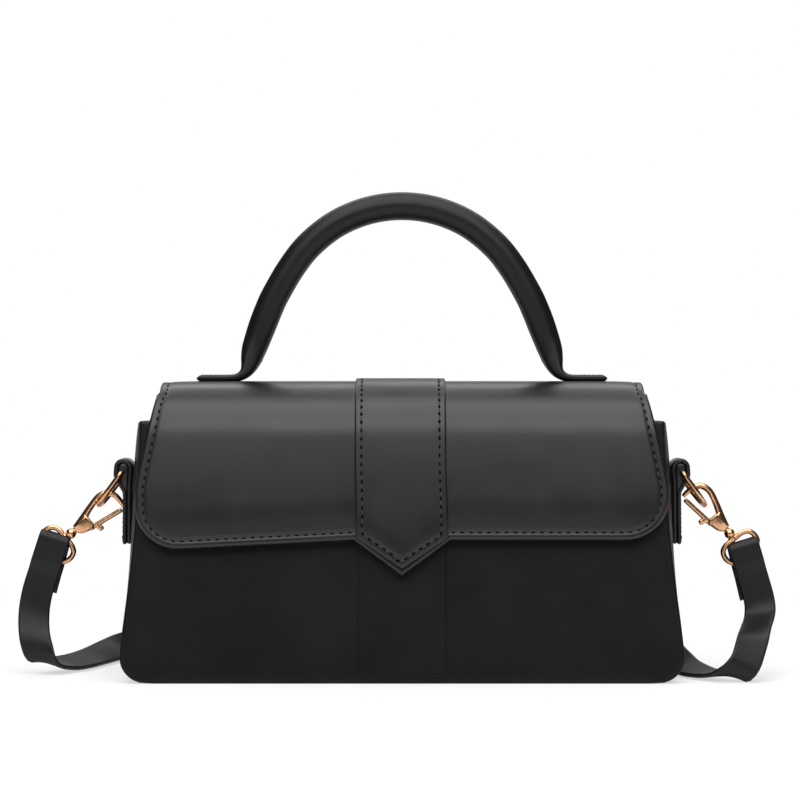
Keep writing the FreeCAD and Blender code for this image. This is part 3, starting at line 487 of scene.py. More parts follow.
def body_half(height):
    """Half the body's width at a height."""
    return np.polyval(BODY_FLARE, height)


def body_depth(height):
    """Half the body's depth at a height."""
    return BASE_DEPTH - height * DEPTH_LEAN / BODY_HEIGHT


def corner_rise(x, half, radius):
    """How far a rounded lower corner lifts the edge."""
    past = np.clip(np.abs(x) - half + radius, 0, radius)
    return radius - np.sqrt(radius ** 2 - past ** 2)


def panel_place(facing):
    """Bends flat panel places onto the leaning front (-1) or back (1) of the body."""
    def place(x, run, lift):
        y = facing * (BASE_DEPTH - run * math.sin(LEAN) + lift * math.cos(LEAN))
        return np.stack([x, y, PANEL_LIFT + run * math.cos(LEAN) + lift * math.sin(LEAN)], axis=-1)
    return place


def panel_outline(s, t):
    """A panel's cut: flared to the base, with rounded lower corners."""
    low = corner_rise(s * BASE_HALF, BASE_HALF, BODY_CORNER)
    run = low + t * (PANEL_TALL - low)
    return s * body_half(PANEL_LIFT + run * math.cos(LEAN)), run


def pillow(inside, height):
    """How far a padded panel swells away from its edge."""
    return height * (1 - np.exp(-inside / 9))


for facing, name in ((-1, "front_panel"), (1, "back_panel")):
    panel = leather_sheet(
        name + "_leather", stations([-1, 0, 1], 0.05, BASE_HALF),
        stations([0, 1], 0.03, PANEL_TALL), panel_outline, panel_place(facing),
        lambda x, run: LEATHER + (FACING_DEPTH - LEATHER) * in_facing(run), LEATHER_ROLL, painted_shade_body_leather,
        lambda x, run, inside, facing=facing: pillow(inside, PANEL_PILLOW[facing])
        - BASE_SEAM_DEEP * groove(inside, BASE_SEAM, 0.3) * (run < BASE_SEAM_TOP))
    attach(panel.piece, "bag")
    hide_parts(name)

STRIP_HALF = 17.2
STRIP_LOW = 2.6
STRIP_TOP = 64.0
STRIP_THICK = 0.6
strip = leather_sheet(
    "front_centre_strip_leather", stations([-1, 1], 0.2, STRIP_HALF, 8),
    stations([0, 1], 0.06, STRIP_TOP - STRIP_LOW, 8),
    lambda s, t: (s * STRIP_HALF, STRIP_LOW + t * (STRIP_TOP - STRIP_LOW)),
    lambda x, run, lift: panel_place(-1)(x, run, lift + STRIP_THICK + pillow(run, PANEL_PILLOW[-1])),
    STRIP_THICK + 0.1, 0.5, painted_shade_body_leather)
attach(strip.piece, "bag")
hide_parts("front_centre_strip")

GUSSET_LOW = 12.6
GUSSET_CREST = np.polyfit([14.0, 45.0, 81.0, 102.5], [0.8, 2.9, 3.9, 2.2], 3)
GUSSET_GAP = 0.25
GUSSET_FACING = 2.9


def gusset_bulge(y, height):
    """How far the gusset stands out at a place on it."""
    return np.polyval(GUSSET_CREST, height) * (1 - (y / (body_depth(height) - LEATHER)) ** 2)


def gusset_outline(s, t):
    """The gusset's cut, which fits between the two panels."""
    height = GUSSET_LOW + t * (BODY_HEIGHT - GUSSET_LOW)
    return s * (body_depth(height) - LEATHER - GUSSET_GAP), height


def gusset_place(side):
    """Bends flat gusset places onto the bulging left (-1) or right (1) end of the body."""
    def place(y, run, lift):
        return np.stack([side * (body_half(run) + gusset_bulge(y, run) + lift), y, run], axis=-1)
    return place


for side, label in ((-1, "left"), (1, "right")):
    gusset = leather_sheet(
        label + "_gusset_leather", stations([-1, 1], 0.08, BASE_DEPTH),
        stations([0, 1], 0.04, BODY_HEIGHT), gusset_outline, gusset_place(side),
        lambda y, run: LEATHER + (gusset_bulge(y, run) + GUSSET_FACING - LEATHER) * in_facing(run),
        LEATHER_ROLL, painted_shade_body_leather)
    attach(gusset.piece, "bag")
    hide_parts(label + "_gusset")

BASE_END = 14.0
BASE_GAP = 0.1


def between_panels(line, skin):
    """The cut of a strip that runs along a line and fits between two skins of a thickness."""
    def outline(s, t):
        run = t * line.total
        return s * (body_depth(at(line, run, "points")[..., 1]) - skin - BASE_GAP), run
    return outline


base_line = even_line(bent_line(
    [(-body_half(BASE_END), BASE_END), (-BASE_HALF, 0), (BASE_HALF, 0), (body_half(BASE_END), BASE_END)],
    [BODY_CORNER, BODY_CORNER]), 0.8)
base = leather_sheet(
    "base_leather", stations([-1, 1], 0.1, BASE_DEPTH), base_line.shares,
    between_panels(base_line, LEATHER), wrapped(base_line, False), LEATHER, LEATHER_ROLL, painted_shade_body_leather)
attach(base.piece, "bag")
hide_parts("base_panel")

# Fittings inside the leather: board cut to each panel, grey in the body and dyed black in the flap, a black
# foam rod in the handle and a pair of magnets. All are glued in before the leather is sewn over them.
def pressed_fibre(name, pale, dark, grain, roughness):
    """Pressed board or foam: clumps of fibre or cells of one grain size, matt all over."""
    material, tree, places = new_surface(name)
    clumps = add_node(tree, "ShaderNodeTexNoise", {
        "Vector": places, "Scale": 1 / (grain * MM), "Detail": 5.0, "Roughness": 0.7})
    return finish_surface(material, clumps, (pale, dark), clumps, 0.3, 0.1, {"Roughness": roughness})


def plated_metal(name, bright, deep, roughness):
    """Polished plating over a casting: slow ripples, and gloss and colour that shift a little."""
    material, tree, places = new_surface(name)
    cloud = add_node(tree, "ShaderNodeTexNoise", {"Vector": places, "Scale": 1 / (5 * MM), "Detail": 4.0})
    ripple = add_node(tree, "ShaderNodeTexNoise", {"Vector": places, "Scale": 1 / (1.6 * MM), "Detail": 2.0})
    gloss = add_node(tree, "ShaderNodeMapRange", {
        "Value": cloud, "From Min": 0.3, "From Max": 0.7,
        "To Min": roughness - 0.05, "To Max": roughness + 0.06})
    return finish_surface(material, cloud, (bright, deep), ripple, 0.15, 0.1, {
        "Metallic": 1.0, "Roughness": gloss})


def finish_node(name, material):
    """Give a construction solid its real finish."""
    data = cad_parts[name].data
    data.materials.clear()
    data.materials.append(material)


grey_board = pressed_fibre("pressed_grey_board", "#98948c", "#6d6962", 1.2, 0.9)
for name in ("front_board", "back_board", "base_board"):
    finish_node(name, grey_board)
finish_node("flap_board", pressed_fibre("black_dyed_board", "#2a2928", "#1a1919", 1.2, 0.9))
finish_node("handle_core", pressed_fibre("black_foam", "#1c1c1d", "#101011", 0.8, 0.95))
nickel = plated_metal("nickel_plated_steel", "#cfcfcc", "#a8a8a5", 0.25)
for name in ("front_magnet", "flap_magnet"):
    finish_node(name, nickel)

# Lining: a bag of thin woven polyester inside the boards, its top caught under the leather facings.
# Cut as one strip for the ends and floor, and two walls.
LINING_THICK = 0.6
LINING_FLOOR = 3.6
LINING_TOP = 99.0
LINING_SIDE = 1.95
LINING_DEPTH = 3.35
LINING_CORNER = 9.0
LINING_ROLL = 0.4
LINING_SLACK = 0.25


def woven_cloth(name, warp, weft, pitch):
    """Plain-woven cloth: two crossing sets of threads at a pitch, with a slight sheen."""
    material, tree, places = new_surface(name)
    upright, level = (add_node(tree, "ShaderNodeTexWave", {
        "Vector": places, "Scale": math.pi / (10 * pitch * MM), "Distortion": 0.4},
        wave_type="BANDS", bands_direction=way) for way in ("X", "Z"))
    weave = add_node(tree, "ShaderNodeMath", {
        "Value": (upright, "Fac"), "Value_001": (level, "Fac")}, operation="MULTIPLY")
    return finish_surface(material, weave, (warp, weft), weave, 0.4, 0.1, {
        "Roughness": 0.8, "Sheen Weight": 0.2})


def joined(name, pieces, material):
    """One piece from several of one material."""
    form = bmesh.new()
    for piece in pieces:
        form.from_mesh(piece.data)
        bpy.data.objects.remove(piece)
    data = bpy.data.meshes.new(name)
    form.to_mesh(data)
    form.free()
    data.materials.append(material)
    return put(name, data)


def slow_folds(x, run):
    """Slow folds in slack cloth, from -1 to 1."""
    return np.sin(x / 11 + run / 17) * np.sin(run / 13 - x / 29)


def floor_thick(x, run):
    """The cloth of the floor and ends with its slack, which has small creases too."""
    creases = 0.5 * np.sin(x / 5.3 - run / 7)
    return LINING_THICK + LINING_SLACK * (1 + (slow_folds(x, run) + creases) / 1.5)


def wall_thick(x, run):
    """The cloth of a wall with its slack, which is drawn flat under the facing."""
    hanging = 1 - smooth(run, FACING_FROM - 7, FACING_FROM - 1)
    return LINING_THICK + LINING_SLACK * (1 + slow_folds(x, run)) * hanging


lining_cloth = woven_cloth("black_woven_lining", "#141416", "#2c2c30", 0.5)
LINING_LOW = (LINING_FLOOR - PANEL_LIFT) / math.cos(LEAN)
LINING_TALL = LINING_TOP / math.cos(LEAN)


def lining_outline(s, t):
    """A lining wall's cut, set in from the body's sides."""
    half = body_half(LINING_FLOOR) - LINING_SIDE
    low = LINING_LOW + corner_rise(s * half, half, LINING_CORNER)
    run = low + t * (LINING_TALL - low)
    return s * (body_half(PANEL_LIFT + run * math.cos(LEAN)) - LINING_SIDE), run


lining_parts = []
for facing in (-1, 1):
    lining_parts.append(leather_sheet(
        f"lining_wall_{facing}", stations([-1, 1], 0.04, BASE_HALF, 4),
        stations([0, 1], 0.04, LINING_TALL, 4), lining_outline,
        lambda x, run, lift, facing=facing: panel_place(facing)(x, run, lift - LINING_DEPTH),
        wall_thick, LINING_ROLL, lining_cloth).piece)
lining_ends = [(body_half(height) - LINING_SIDE, height) for height in (LINING_FLOOR, LINING_TOP)]
lining_line = even_line(bent_line(
    [(-x, height) for x, height in lining_ends[::-1]] + lining_ends, [LINING_CORNER, LINING_CORNER]), 2.0)
lining_parts.append(leather_sheet(
    "lining_floor", stations([-1, 1], 0.08, BASE_DEPTH, 4), lining_line.shares,
    between_panels(lining_line, LINING_DEPTH), wrapped(lining_line, False), floor_thick, LINING_ROLL,
    lining_cloth).piece)
lining = joined("lining_cloth_bag", lining_parts, lining_cloth)
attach(lining, "bag")
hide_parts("lining")

# Flap: leather over a thin board, bent over the mouth with two soft shoulders and sewn round its edge.
# Its tail is glued and sewn to the back panel, and the bend above that tail is the hinge.
FLAP_TOP = 118.0
FLAP_REAR = 25.0
FLAP_STACK = 4.4
FLAP_THICK = 2.6
TAIL_THICK = 1.1
TAIL_LOW = 80.0
TAIL_TOP = 100.0
TAIL_LIFT = 1.5
TAIL_HALF = 98.0
HINGE_HEIGHT = 103.03
HINGE_TOP = 106.5
FLAP_FOOT = 38.0
FLAP_FRONT = -20
FLAP_BENDS = [12, 3.4, 11, 24.5]
FLAP_WIDTHS = ((118.0, 96.6), (76.0, 104.7), (54.0, 104.3))
FLAP_HALF = FLAP_WIDTHS[-1][1]
FLAP_CORNER = 16.5
FLAP_EDGE = 52.3
FLAP_EDGE_RIGHT = 55.8
FLAP_MIDDLE = 55.8
FLAP_POINT = 41.9
POINT_HALF = 19.0
FLAP_BULGE = 3.0
FLAP_PUFF = 0.45
FLAP_RIM = 3.0
FLAP_RIM_DEEP = 0.32
FLAP_ROLL = 1.2
FLAP_LINING_INSET = 1.6


def front_y(height, offset):
    """Y of a face that stands off the front panel's plane."""
    return -BASE_DEPTH + (height - PANEL_LIFT) * math.tan(LEAN) - offset / math.cos(LEAN)


flap_line = even_line(bent_line(
    [(-front_y(TAIL_LOW, TAIL_LIFT), TAIL_LOW), (-front_y(TAIL_TOP, TAIL_LIFT), TAIL_TOP),
     (FLAP_REAR, HINGE_TOP), (FLAP_REAR, FLAP_TOP), (front_y(FLAP_TOP, FLAP_STACK), FLAP_TOP),
     (front_y(FLAP_FOOT, FLAP_STACK), FLAP_FOOT)], FLAP_BENDS), 0.5)
flap_place = wrapped(flap_line, True)
front_from = int(np.argmin(flap_line.points[:, 0] > FLAP_FRONT))
front_run = flap_line.lengths[front_from]
rear = np.s_[:front_from // 2]
hinge_run = float(np.interp(HINGE_HEIGHT, flap_line.points[rear, 1], flap_line.lengths[rear]))


def run_at(height):
    """Length along the flap to a height on its front."""
    return np.interp(-np.asarray(height), -flap_line.points[front_from:, 1], flap_line.lengths[front_from:])


def flap_half(run):
    """Half the flap's width along its length."""
    heights, halves = np.transpose(FLAP_WIDTHS)
    front = np.interp(-at(flap_line, run, "points")[..., 1], -heights, halves)
    over = TAIL_HALF + (halves[0] - TAIL_HALF) * smooth(run, 0, front_run)
    return np.where(run > front_run, front, over)


def flap_low(x):
    """Height of the flap's lower edge, which hangs a little lower on the left."""
    straight = np.interp(x, [FLAP_CORNER - FLAP_HALF, -POINT_HALF, 0, POINT_HALF, FLAP_HALF - FLAP_CORNER],
                         [FLAP_EDGE, FLAP_MIDDLE, FLAP_POINT, FLAP_MIDDLE, FLAP_EDGE_RIGHT])
    return straight + corner_rise(x, FLAP_HALF, FLAP_CORNER)


def flap_outline(inset, start):
    """The flap's cut, drawn in by an inset and begun at a length from the tail's edge."""
    def outline(s, t):
        end = run_at(flap_low(s * FLAP_HALF) + inset)
        run = start + t * (end - start)
        return s * (flap_half(run) - inset), run
    return outline


def flap_bulge(run):
    """How far the soft front stands off its board."""
    share = np.clip((run - front_run) / (flap_line.total - front_run), 0, 1)
    return FLAP_BULGE * (1 - (1 - share) ** 3)


def flap_relief(x, run, inside):
    """The flap's soft swell, drawn down along its stitches."""
    on_flap = smooth(run, hinge_run, hinge_run + 8)
    puff = FLAP_PUFF * (1 - np.exp(-np.clip(inside - FLAP_RIM, 0, None) / 5))
    drawn = FLAP_RIM_DEEP * groove(inside, FLAP_RIM, 0.5)
    return flap_bulge(run) * (0.6 + 0.4 * smooth(inside, 0, 16)) + on_flap * (puff - drawn)


black_leather = coated_leather("black_polished_leather", "#0d0d0e", "#232324", 0.36)
flap_span = run_at(FLAP_EDGE)
point_share = POINT_HALF / FLAP_HALF
flap_columns = stations([-1, -point_share, 0, point_share, 1], 0.03, FLAP_HALF)
flap = leather_sheet(
    "flap_leather", flap_columns, stations([0, hinge_run / flap_span, 1], 0.014, flap_span),
    flap_outline(0, 0), flap_place,
    lambda x, run: TAIL_THICK + (FLAP_THICK - TAIL_THICK) * smooth(run, hinge_run - 1, hinge_run + 4),
    FLAP_ROLL, black_leather, flap_relief)
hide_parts("flap_outer")
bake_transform(flap.piece)

flap_lining = leather_sheet(
    "flap_lining_cloth", flap_columns, stations([0, 1], 0.02, flap_span, 4),
    flap_outline(FLAP_LINING_INSET, hinge_run + 1.5),
    lambda x, run, lift: flap_place(x, run, lift - FLAP_THICK), LINING_THICK, LINING_ROLL, lining_cloth)
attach(flap_lining.piece, "flap")
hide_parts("flap_lining")

BAND_THICK = 1.2
BAND_HALF_TOP = (18.6, 17.3)
BAND_HALF_LOW = 18.0
BAND_SHOULDER = 56.4
BAND_TIP = 44.4
BAND_RIM = 2.6
BAND_RIM_DEEP = 0.2
BAND_ROLL = 0.9
BAND_START = 2.5


def band_outline(s, t):
    """The band's cut: straight over the flap, and pointed below."""
    height = BAND_TIP + (BAND_SHOULDER - BAND_TIP) * np.abs(s)
    start = hinge_run + BAND_START
    run = start + t * (run_at(height) - start)
    here = at(flap_line, run, "points")[..., 1]
    top_half = np.where(s < 0, *BAND_HALF_TOP)
    share = np.where(run > front_run, smooth(-here, -BAND_SHOULDER - 34, -BAND_SHOULDER), 0)
    return s * (top_half + (BAND_HALF_LOW - top_half) * share), run


def band_place(x, run, lift):
    """Lays the band on the flap's swell."""
    inside = np.minimum(40, 3.2 + run_at(flap_low(x)) - run)
    return flap_place(x, run, lift + BAND_THICK + flap_relief(x, run, inside))


band = leather_sheet(
    "flap_band_leather", stations([-1, 0, 1], 0.2, BAND_HALF_LOW, 10),
    stations([0, 1], 0.014, flap_span), band_outline, band_place, BAND_THICK + 0.3, BAND_ROLL,
    black_leather, lambda x, run, inside: -BAND_RIM_DEEP * groove(inside, BAND_RIM, 0.45))
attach(band.piece, "flap")
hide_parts("flap_band")

# Handle: leather rolled round a foam core and sewn along its underside. Its ends are pinched flat and
# turned outwards into tabs that are sewn to the top of the flap.
HANDLE_Y = 2.4
HANDLE_PINCH = (121, 136)
HANDLE_PATH = [
    # out, up, half in plane, half across
    (0.0, 189.6, 5.7, 5.7), (13.7, 187.8, 5.7, 5.7), (26.5, 182.5, 5.7, 5.7), (37.4, 174.0, 5.7, 5.7),
    (44.9, 164.6, 5.7, 5.7), (51.4, 153.5, 5.7, 5.7), (54.2, 147.4, 5.7, 5.7), (56.6, 141.3, 5.65, 5.75),
    (58.8, 135.2, 5.35, 5.9), (60.2, 131.1, 5.0, 6.3), (61.3, 127.1, 4.2, 6.9), (62.3, 124.1, 3.2, 7.4),
    (63.8, 121.7, 2.2, 7.9), (66.4, 120.1, 1.65, 8.3), (70.0, 119.6, 1.5, 8.5), (75.0, 119.55, 1.5, 8.5),
    (79.6, 119.55, 1.5, 8.5), (82.0, 119.5, 1.3, 8.1), (82.8, 119.45, 0.6, 7.5),
]


def flowing(points):
    """A smooth line through points, with any further columns carried along."""
    points = np.asarray(points, float)
    padded = np.concatenate([[2 * points[0] - points[1]], points, [2 * points[-1] - points[-2]]])
    share = np.linspace(0, 1, 24, endpoint=False)[:, None]
    pieces = []
    for before, start, end, after in zip(padded, padded[1:], padded[2:], padded[3:]):
        pieces.append(0.5 * (2 * start + (end - before) * share
                             + (2 * before - 5 * start + 4 * end - after) * share ** 2
                             + (3 * start - before - 3 * end + after) * share ** 3))
    return np.concatenate(pieces + [points[-1:]])


def tube_faces(rows, count):
    """Faces of a tube of point rings, with both its ends closed."""
    ring = np.arange(rows * count).reshape(rows, count)
    ahead = np.roll(ring, -1, axis=1)
    quads = np.stack([ring[:-1], ahead[:-1], ahead[1:], ring[1:]], axis=-1)
    return quads.reshape(-1, 4).tolist() + [ring[0].tolist(), ring[-1, ::-1].tolist()]


def rod_shell(line, squareness, count):
    """Points and faces of a rod along a line that carries its half sizes in its plane and across it."""
    sizes = line.points[:, 2:]
    normal = np.stack([line.ways[:, 1], -line.ways[:, 0]], axis=-1)
    angles = np.linspace(0, 2 * math.pi, count, endpoint=False)
    power = 2 / np.broadcast_to(squareness, (len(sizes),))[:, None]
    cosines, sines = (np.sign(turn) * np.abs(turn) ** power for turn in (np.cos(angles), np.sin(angles)))
    flat = line.points[:, None, :2] + (cosines * sizes[:, :1])[..., None] * normal[:, None]
    points = np.stack([flat[..., 0], sines * sizes[:, 1:], flat[..., 1]], axis=-1)
    return points.reshape(-1, 3), tube_faces(len(sizes), count)


right_half = np.array(HANDLE_PATH)
handle_line = even_line(flowing(np.concatenate([right_half[:0:-1] * [-1, 1, 1, 1], right_half])), 1.1, axes=2)
pinch = 1 - smooth(handle_line.points[:, 1], *HANDLE_PINCH)
handle_points, handle_faces = rod_shell(handle_line, 2 + 1.6 * pinch, 80)
handle_points[:, 1] += HANDLE_Y
handle_leather = coated_leather("black_handle_leather", "#0b0b0c", "#1d1d1e", 0.42, 0.3)
handle = mesh_piece("rolled_handle_leather", handle_points, handle_faces, handle_leather)
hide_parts("handle_cover", "left_handle_tab", "right_handle_tab")
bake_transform(handle)

# Side tabs: a strip of coated leather folded round each D-ring's bar, over a wedge of stacked leather.
# Its two layers are glued to the wedge and sewn down on the gusset.
TAB_HALF = 7.0
TAB_SEAT = (108.58, 81.3)
TAB_LEAN = math.radians(4.26)
TAB_LEATHER = 1.8
TAB_PATH = [(-0.75, -28.6), (0.92, -5.0), (0.92, 4.8), (6.8, 4.8), (6.8, -1.8), (2.4, -8.0), (1.05, -28.9)]
tab_line = even_line(bent_line(TAB_PATH, [20, 2.93, 2.93, 4, 5]), 0.45)
WEDGE_RINGS = ((-6.6, 0.8), (-6.4, 0.93), (-6.0, 1.0), (6.0, 1.0), (6.4, 0.93), (6.6, 0.8))
TAB_CORE = bent_line([(1.7, -8.8), (1.85, 3.8), (5.8, 3.8), (5.8, -1.6), (2.3, -8.2)], [1.9, 1.9, 3.0])


def leaning(side, seat, lean):
    """Turns places out and up from a leaning seat on the left (-1) or right (1) into world places."""
    def to_world(out, y, up):
        return np.stack([side * (seat[0] + out * math.cos(lean) - up * math.sin(lean)), y,
                         seat[1] + out * math.sin(lean) + up * math.cos(lean)], axis=-1)
    return to_world


def tab_place(to_world):
    """Bends flat tab places round the strip's middle line."""
    def place(y, run, lift):
        spot = at(tab_line, run, "points")
        way = at(tab_line, run, "ways")
        off = lift + TAB_LEATHER / 2
        return to_world(spot[..., 0] - way[..., 1] * off, y, spot[..., 1] + way[..., 0] * off)
    return place


def wedge_piece(name, outline, to_world, material):
    """A short block of stacked leather with rounded ends, between the strip's two layers."""
    centre = outline.mean(axis=0)
    rings = []
    for y, share in WEDGE_RINGS:
        flat = centre + (outline - centre) * share
        rings.append(to_world(flat[:, 0], np.full(len(flat), y), flat[:, 1]))
    return mesh_piece(name, np.concatenate(rings), tube_faces(len(rings), len(outline)), material)


side_tabs = []
for side, label in ((-1, "left"), (1, "right")):
    to_world = leaning(side, TAB_SEAT, TAB_LEAN)
    tab = leather_sheet(
        label + "_tab_strip", stations([-1, 1], 0.25, TAB_HALF, 7), tab_line.shares,
        lambda s, t: (s * TAB_HALF, t * tab_line.total), tab_place(to_world), TAB_LEATHER - 0.04, 0.8,
        black_leather)
    side_tabs.append(tab)
    core = wedge_piece(label + "_tab_core", TAB_CORE, to_world, black_leather)
    whole_tab = joined(label + "_side_tab_leather", [tab.piece, core], black_leather)
    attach(whole_tab, "bag")
    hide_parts(label + "_side_tab")

# Stitching: black bonded polyester thread in a lockstitch, round the flap and its band and through the tabs.
# Each stitch is a short plump length of thread, pulled down at both ends into a needle hole.
STITCH_PITCH = 3.4
STITCH_LENGTH = 1.9
THREAD_WIDTH = 0.62
THREAD_PLUMP = 0.6
# Needle holes are flat near-black marks laid on the leather between stitches: painted shade standing in for
# the shade inside each hole.
HOLE_LENGTH = 1.8
HOLE_WIDTH = 1.15
HOLE_PLUMP = 0.3
SEAM_STEP = 0.7
TAB_RIM = 1.5
TAB_SEWN = 20
HINGE_CLEAR = 9
TAIL_CLEAR = 5
HANDLE_SEAM = (68.5, 80.2)
HANDLE_SEAM_HALF = 6.2
HANDLE_SEAM_HIGH = 120.9


def sewing_thread(name, pale, dark):
    """Bonded thread: plies that show as slanting ribs 0.4 mm apart, with a slight shine."""
    material, tree, places = new_surface(name)
    plies = add_node(tree, "ShaderNodeTexWave", {
        "Vector": places, "Scale": math.pi / (10 * 0.4 * MM), "Distortion": 0.5},
        wave_type="BANDS", bands_direction="DIAGONAL")
    return finish_surface(material, (plies, "Fac"), (dark, pale), (plies, "Fac"), 0.4, 0.08, {
        "Roughness": 0.5})


def stitch_nodes():
    """Stitches and needle holes set out along a seam, flat on the leather; each needle hole is a near-black
    mark of painted shade.
    """
    tree = bpy.data.node_groups.new("sewn_stitches", "GeometryNodeTree")
    sizes = ("Pitch", "Stitch Length", "Thread Width", "Hole Length", "Hole Width")
    for name, kind in [("Seam", "Geometry")] + [(name, "Float") for name in sizes] + [
            ("Thread", "Material"), ("Needle Hole Shade", "Material")]:
        tree.interface.new_socket(name, in_out="INPUT", socket_type="NodeSocket" + kind)
    tree.interface.new_socket("Stitches", in_out="OUTPUT", socket_type="NodeSocketGeometry")
    given = add_node(tree, "NodeGroupInput")
    seam = add_node(tree, "GeometryNodeMeshToCurve", {"Mesh": (given, "Seam")})
    spaced = add_node(tree, "GeometryNodeResampleCurve", {
        "Curve": seam, "Length": (given, "Pitch")}, mode="LENGTH")
    ahead = add_node(tree, "GeometryNodeInputTangent")
    out = add_node(tree, "GeometryNodeInputNamedAttribute", {"Name": "out"}, data_type="FLOAT_VECTOR")
    turn = add_node(tree, "FunctionNodeAxesToRotation", {
        "Primary Axis": ahead, "Secondary Axis": (out, "Attribute")},
        primary_axis="X", secondary_axis="Z")
    half = add_node(tree, "ShaderNodeMath", {
        "Value": (given, "Pitch"), "Value_001": 0.5}, operation="MULTIPLY")
    step = add_node(tree, "ShaderNodeVectorMath", {"Vector": ahead, "Scale": half}, operation="SCALE")
    between = add_node(tree, "GeometryNodeSetPosition", {"Geometry": spaced, "Offset": step})
    bead = add_node(tree, "GeometryNodeMeshUVSphere", {"Segments": 8, "Rings": 5, "Radius": 0.5})
    whole = add_node(tree, "GeometryNodeJoinGeometry")
    for points, length, width, plump, finish in (
            (spaced, "Stitch Length", "Thread Width", THREAD_PLUMP, "Thread"),
            (between, "Hole Length", "Hole Width", HOLE_PLUMP, "Needle Hole Shade")):
        thin = add_node(tree, "ShaderNodeMath", {
            "Value": (given, width), "Value_001": plump}, operation="MULTIPLY")
        scale = add_node(tree, "ShaderNodeCombineXYZ", {"X": (given, length), "Y": (given, width), "Z": thin})
        set_out = add_node(tree, "GeometryNodeInstanceOnPoints", {
            "Points": points, "Instance": bead, "Rotation": turn, "Scale": scale})
        real = add_node(tree, "GeometryNodeRealizeInstances", {"Geometry": set_out})
        done = add_node(tree, "GeometryNodeSetMaterial", {"Geometry": real, "Material": (given, finish)})
        wire(tree, whole, {"Geometry": done})
    add_node(tree, "NodeGroupOutput", {"Stitches": whole})
    return tree


def seam_line(sheet, inset, keep):
    """Places along a seam set in from a sheet's edge, with the way out of the leather at each."""
    loop = even_line(np.concatenate([sheet.rim, sheet.rim[:1]]), SEAM_STEP)
    flat = loop.points + inset * np.stack([-loop.ways[:, 1], loop.ways[:, 0]], axis=-1)
    flat = flat[(rim_distance(flat, sheet.rim) > 0.97 * inset) & keep(flat[:, 0], flat[:, 1])]
    x, run = flat.T
    lift = sheet.relief(x, run, np.full(len(flat), inset)) if sheet.relief else np.zeros(len(flat))
    spots = sheet.place(x, run, lift)
    return spots, sheet.place(x, run, lift + 1) - spots


def handle_seam(side):
    """The sewn line round the outer end of a handle tab."""
    near, far = HANDLE_SEAM
    half = HANDLE_SEAM_HALF
    path = even_line([(near, -half), (far, -half), (far, half), (near, half)], SEAM_STEP).points
    spots = np.column_stack([side * path[:, 0], path[:, 1] + HANDLE_Y, np.full(len(path), HANDLE_SEAM_HIGH)])
    return spots, np.tile([0.0, 0.0, 1.0], (len(path), 1))


stitches = stitch_nodes()
stitch_settings = {
    "Pitch": STITCH_PITCH * MM, "Stitch Length": STITCH_LENGTH * MM, "Thread Width": THREAD_WIDTH * MM,
    "Hole Length": HOLE_LENGTH * MM, "Hole Width": HOLE_WIDTH * MM,
    "Thread": sewing_thread("bonded_polyester_thread", "#303031", "#151516"),
    # The needle holes' near-black material is painted shade.
    "Needle Hole Shade": coated_leather("needle_hole_painted_shade", "#030303", "#060606", 0.8, 0.05)}


def sewn(name, seams, body):
    """Sew several seams of one body as one mesh."""
    spots, outs = (np.concatenate(parts) for parts in zip(*seams))
    near = np.flatnonzero(np.linalg.norm(np.diff(spots, axis=0), axis=1) < 3 * SEAM_STEP)
    data = bpy.data.meshes.new(name + "_seam")
    data.from_pydata((spots * MM).tolist(), [(int(spot), int(spot) + 1) for spot in near], [])
    ways_out = data.attributes.new("out", "FLOAT_VECTOR", "POINT")
    ways_out.data.foreach_set("vector", outs.astype(np.float32).ravel())
    line = put(name + "_seam", data)
    needle = line.modifiers.new("needle", "NODES")
    needle.node_group = stitches
    for item in stitches.interface.items_tree:
        if item.name in stitch_settings:
            needle[item.identifier] = stitch_settings[item.name]
    sewing = worked_out(line)
    sewing.name = name
    shade_smooth(sewing)
    piece = put(name, sewing)
    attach(piece, body)


def past_hinge(x, run):
    """The stretch that turns with the flap."""
    return run > hinge_run + HINGE_CLEAR


def beside_band(x, run):
    """The same stretch, without the flap's point under the band."""
    return past_hinge(x, run) & ((np.abs(x) > BAND_HALF_LOW) | (run < front_run))


sewn("flap_stitches", [seam_line(flap, FLAP_RIM, beside_band), seam_line(band, BAND_RIM, past_hinge),
                       handle_seam(-1), handle_seam(1)], "flap")
sewn("bag_stitches", [seam_line(flap, FLAP_RIM, lambda x, run: run < hinge_run - TAIL_CLEAR)] + [
    seam_line(tab, TAB_RIM, lambda y, run: run > tab_line.total - TAB_SEWN) for tab in side_tabs],
    "bag")

# Snap hooks and D-rings: die-cast zinc with a pale gold plating. A curved arm and a sprung gate on a pin
# make the hook, and a ball in its block turns in the eye that carries the strap.
HOOKS = {-1: ("left", 134.2, 39.3), 1: ("right", 132.8, 51.2)}
BALL_HEIGHT = 56.65
gold = plated_metal("pale_gold_plating", "#e8bd94", "#b97f55", 0.2)
HOOK_ARM = [(-3.0, 0.2, 1.8, 1.8), (-7.9, 1.7, 1.6, 1.6), (-13.0, 3.4, 1.35, 1.4), (-18.4, 4.5, 1.3, 1.4),
            (-22.1, 3.3, 1.3, 1.4), (-23.6, 0.6, 1.2, 1.35), (-23.8, -2.6, 1.1, 1.3), (-23.5, -5.2, 0.9, 1.2)]
HOOK_BLOCK = [(-2.4, -0.2, 1.5, 1.6), (-3.4, -0.3, 2.2, 2.0), (-5.0, -0.6, 2.8, 2.3), (-8.0, -0.9, 3.3, 2.3),
              (-9.3, -1.0, 3.0, 2.2), (-9.7, -1.0, 2.2, 1.8)]
GATE_BAR = [(-6.9, -3.1, 0.9, 1.2), (-8.0, -3.3, 1.2, 1.2), (-10.6, -3.8, 1.05, 1.2), (-16.0, -4.6, 1.0, 1.2),
            (-21.4, -5.4, 1.0, 1.2), (-22.2, -5.5, 0.7, 0.9)]
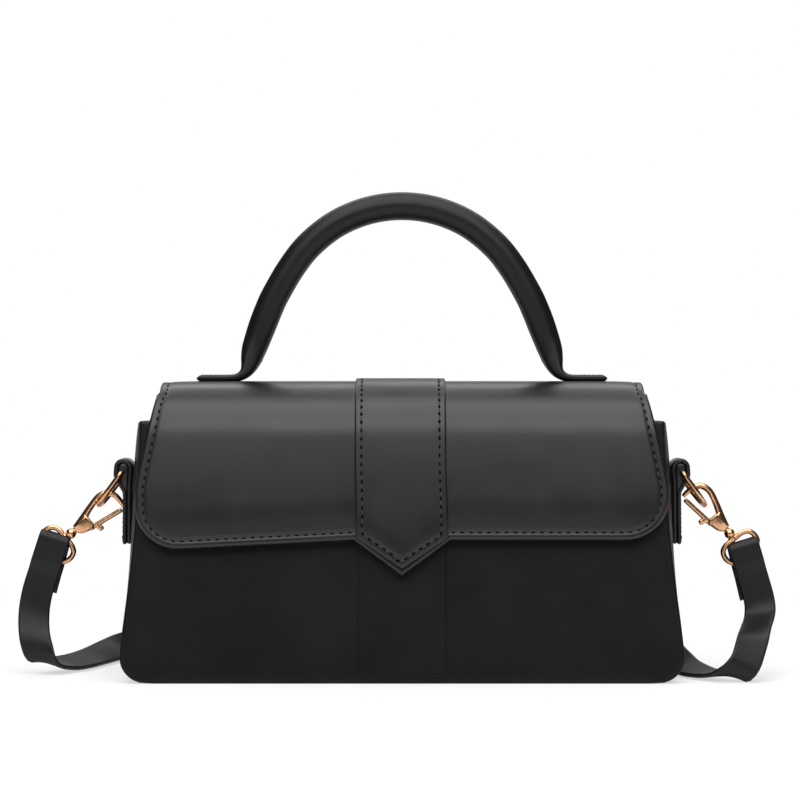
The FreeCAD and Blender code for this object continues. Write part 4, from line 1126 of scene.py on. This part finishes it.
GATE_TRIGGER = [(-10.4, -4.0, 1.2, 1.2), (-10.9, -6.4, 1.1, 1.2), (-11.0, -7.0, 0.6, 0.8)]
EYE_STEM = [(-5.2, 0.0, 1.2, 1.2), (3.4, 0.0, 1.2, 1.2)]
EYE_BALL = [(-2.2, 0.0, 0.1, 0.1), (-2.0, 0.0, 0.92, 0.92), (-1.4, 0.0, 1.7, 1.7), (0.0, 0.0, 2.2, 2.2),
            (1.4, 0.0, 1.7, 1.7), (2.0, 0.0, 0.92, 0.92), (2.2, 0.0, 0.1, 0.1)]
EYE_WIRE = (1.1, 1.1)
EYE_HALF = [(2.8, 0.0), (2.9, 4.2), (4.2, 6.7), (7.0, 7.6), (9.7, 6.8), (10.5, 4.6)]
EYE_LOOP = [(*place, *EYE_WIRE) for place in
            EYE_HALF + [(10.5, 0.0)] + [(along, -out) for along, out in EYE_HALF[::-1]]]
CAST_GRAIN = 0.17


def casting(name, bars, side, to_world, material):
    """One casting: overlapping bars merged and softened as if poured together."""
    points, faces = [], []
    for path, squareness in bars:
        shell, quads = rod_shell(even_line(flowing(path), 0.3, axes=2), squareness, 24)
        faces += [[index + len(points) for index in face] for face in quads]
        points += to_world(shell[:, 0], side * shell[:, 1], shell[:, 2]).tolist()
    piece = mesh_piece(name, points, faces, material)
    merge = piece.modifiers.new("merge", "REMESH")
    merge.mode = "VOXEL"
    merge.voxel_size = CAST_GRAIN * MM
    soften = piece.modifiers.new("soften", "SMOOTH")
    soften.factor = 0.5
    soften.iterations = 6
    data = worked_out(piece)
    data.name = name
    shade_smooth(data)
    return put(name, data)


for side, (label, ball_out, droop) in HOOKS.items():
    to_world = leaning(side, (ball_out, BALL_HEIGHT), -math.radians(droop))
    for name, bars, body in (
            ("hook", ((HOOK_ARM, 2), (HOOK_BLOCK, 4)), "snap"),
            ("gate", ((GATE_BAR, 3), (GATE_TRIGGER, 3)), "latch"),
            ("swivel_eye", ((EYE_STEM, 2), (EYE_BALL, 2), (EYE_LOOP, 2)), "clasp")):
        metal = casting(f"{label}_{name}_casting", bars, side, to_world, gold)
        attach(metal, f"{label}_{body}")
        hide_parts(f"{label}_{name}")
    for name in ("d_ring", "gate_pin"):
        finish_node(f"{label}_{name}", gold)
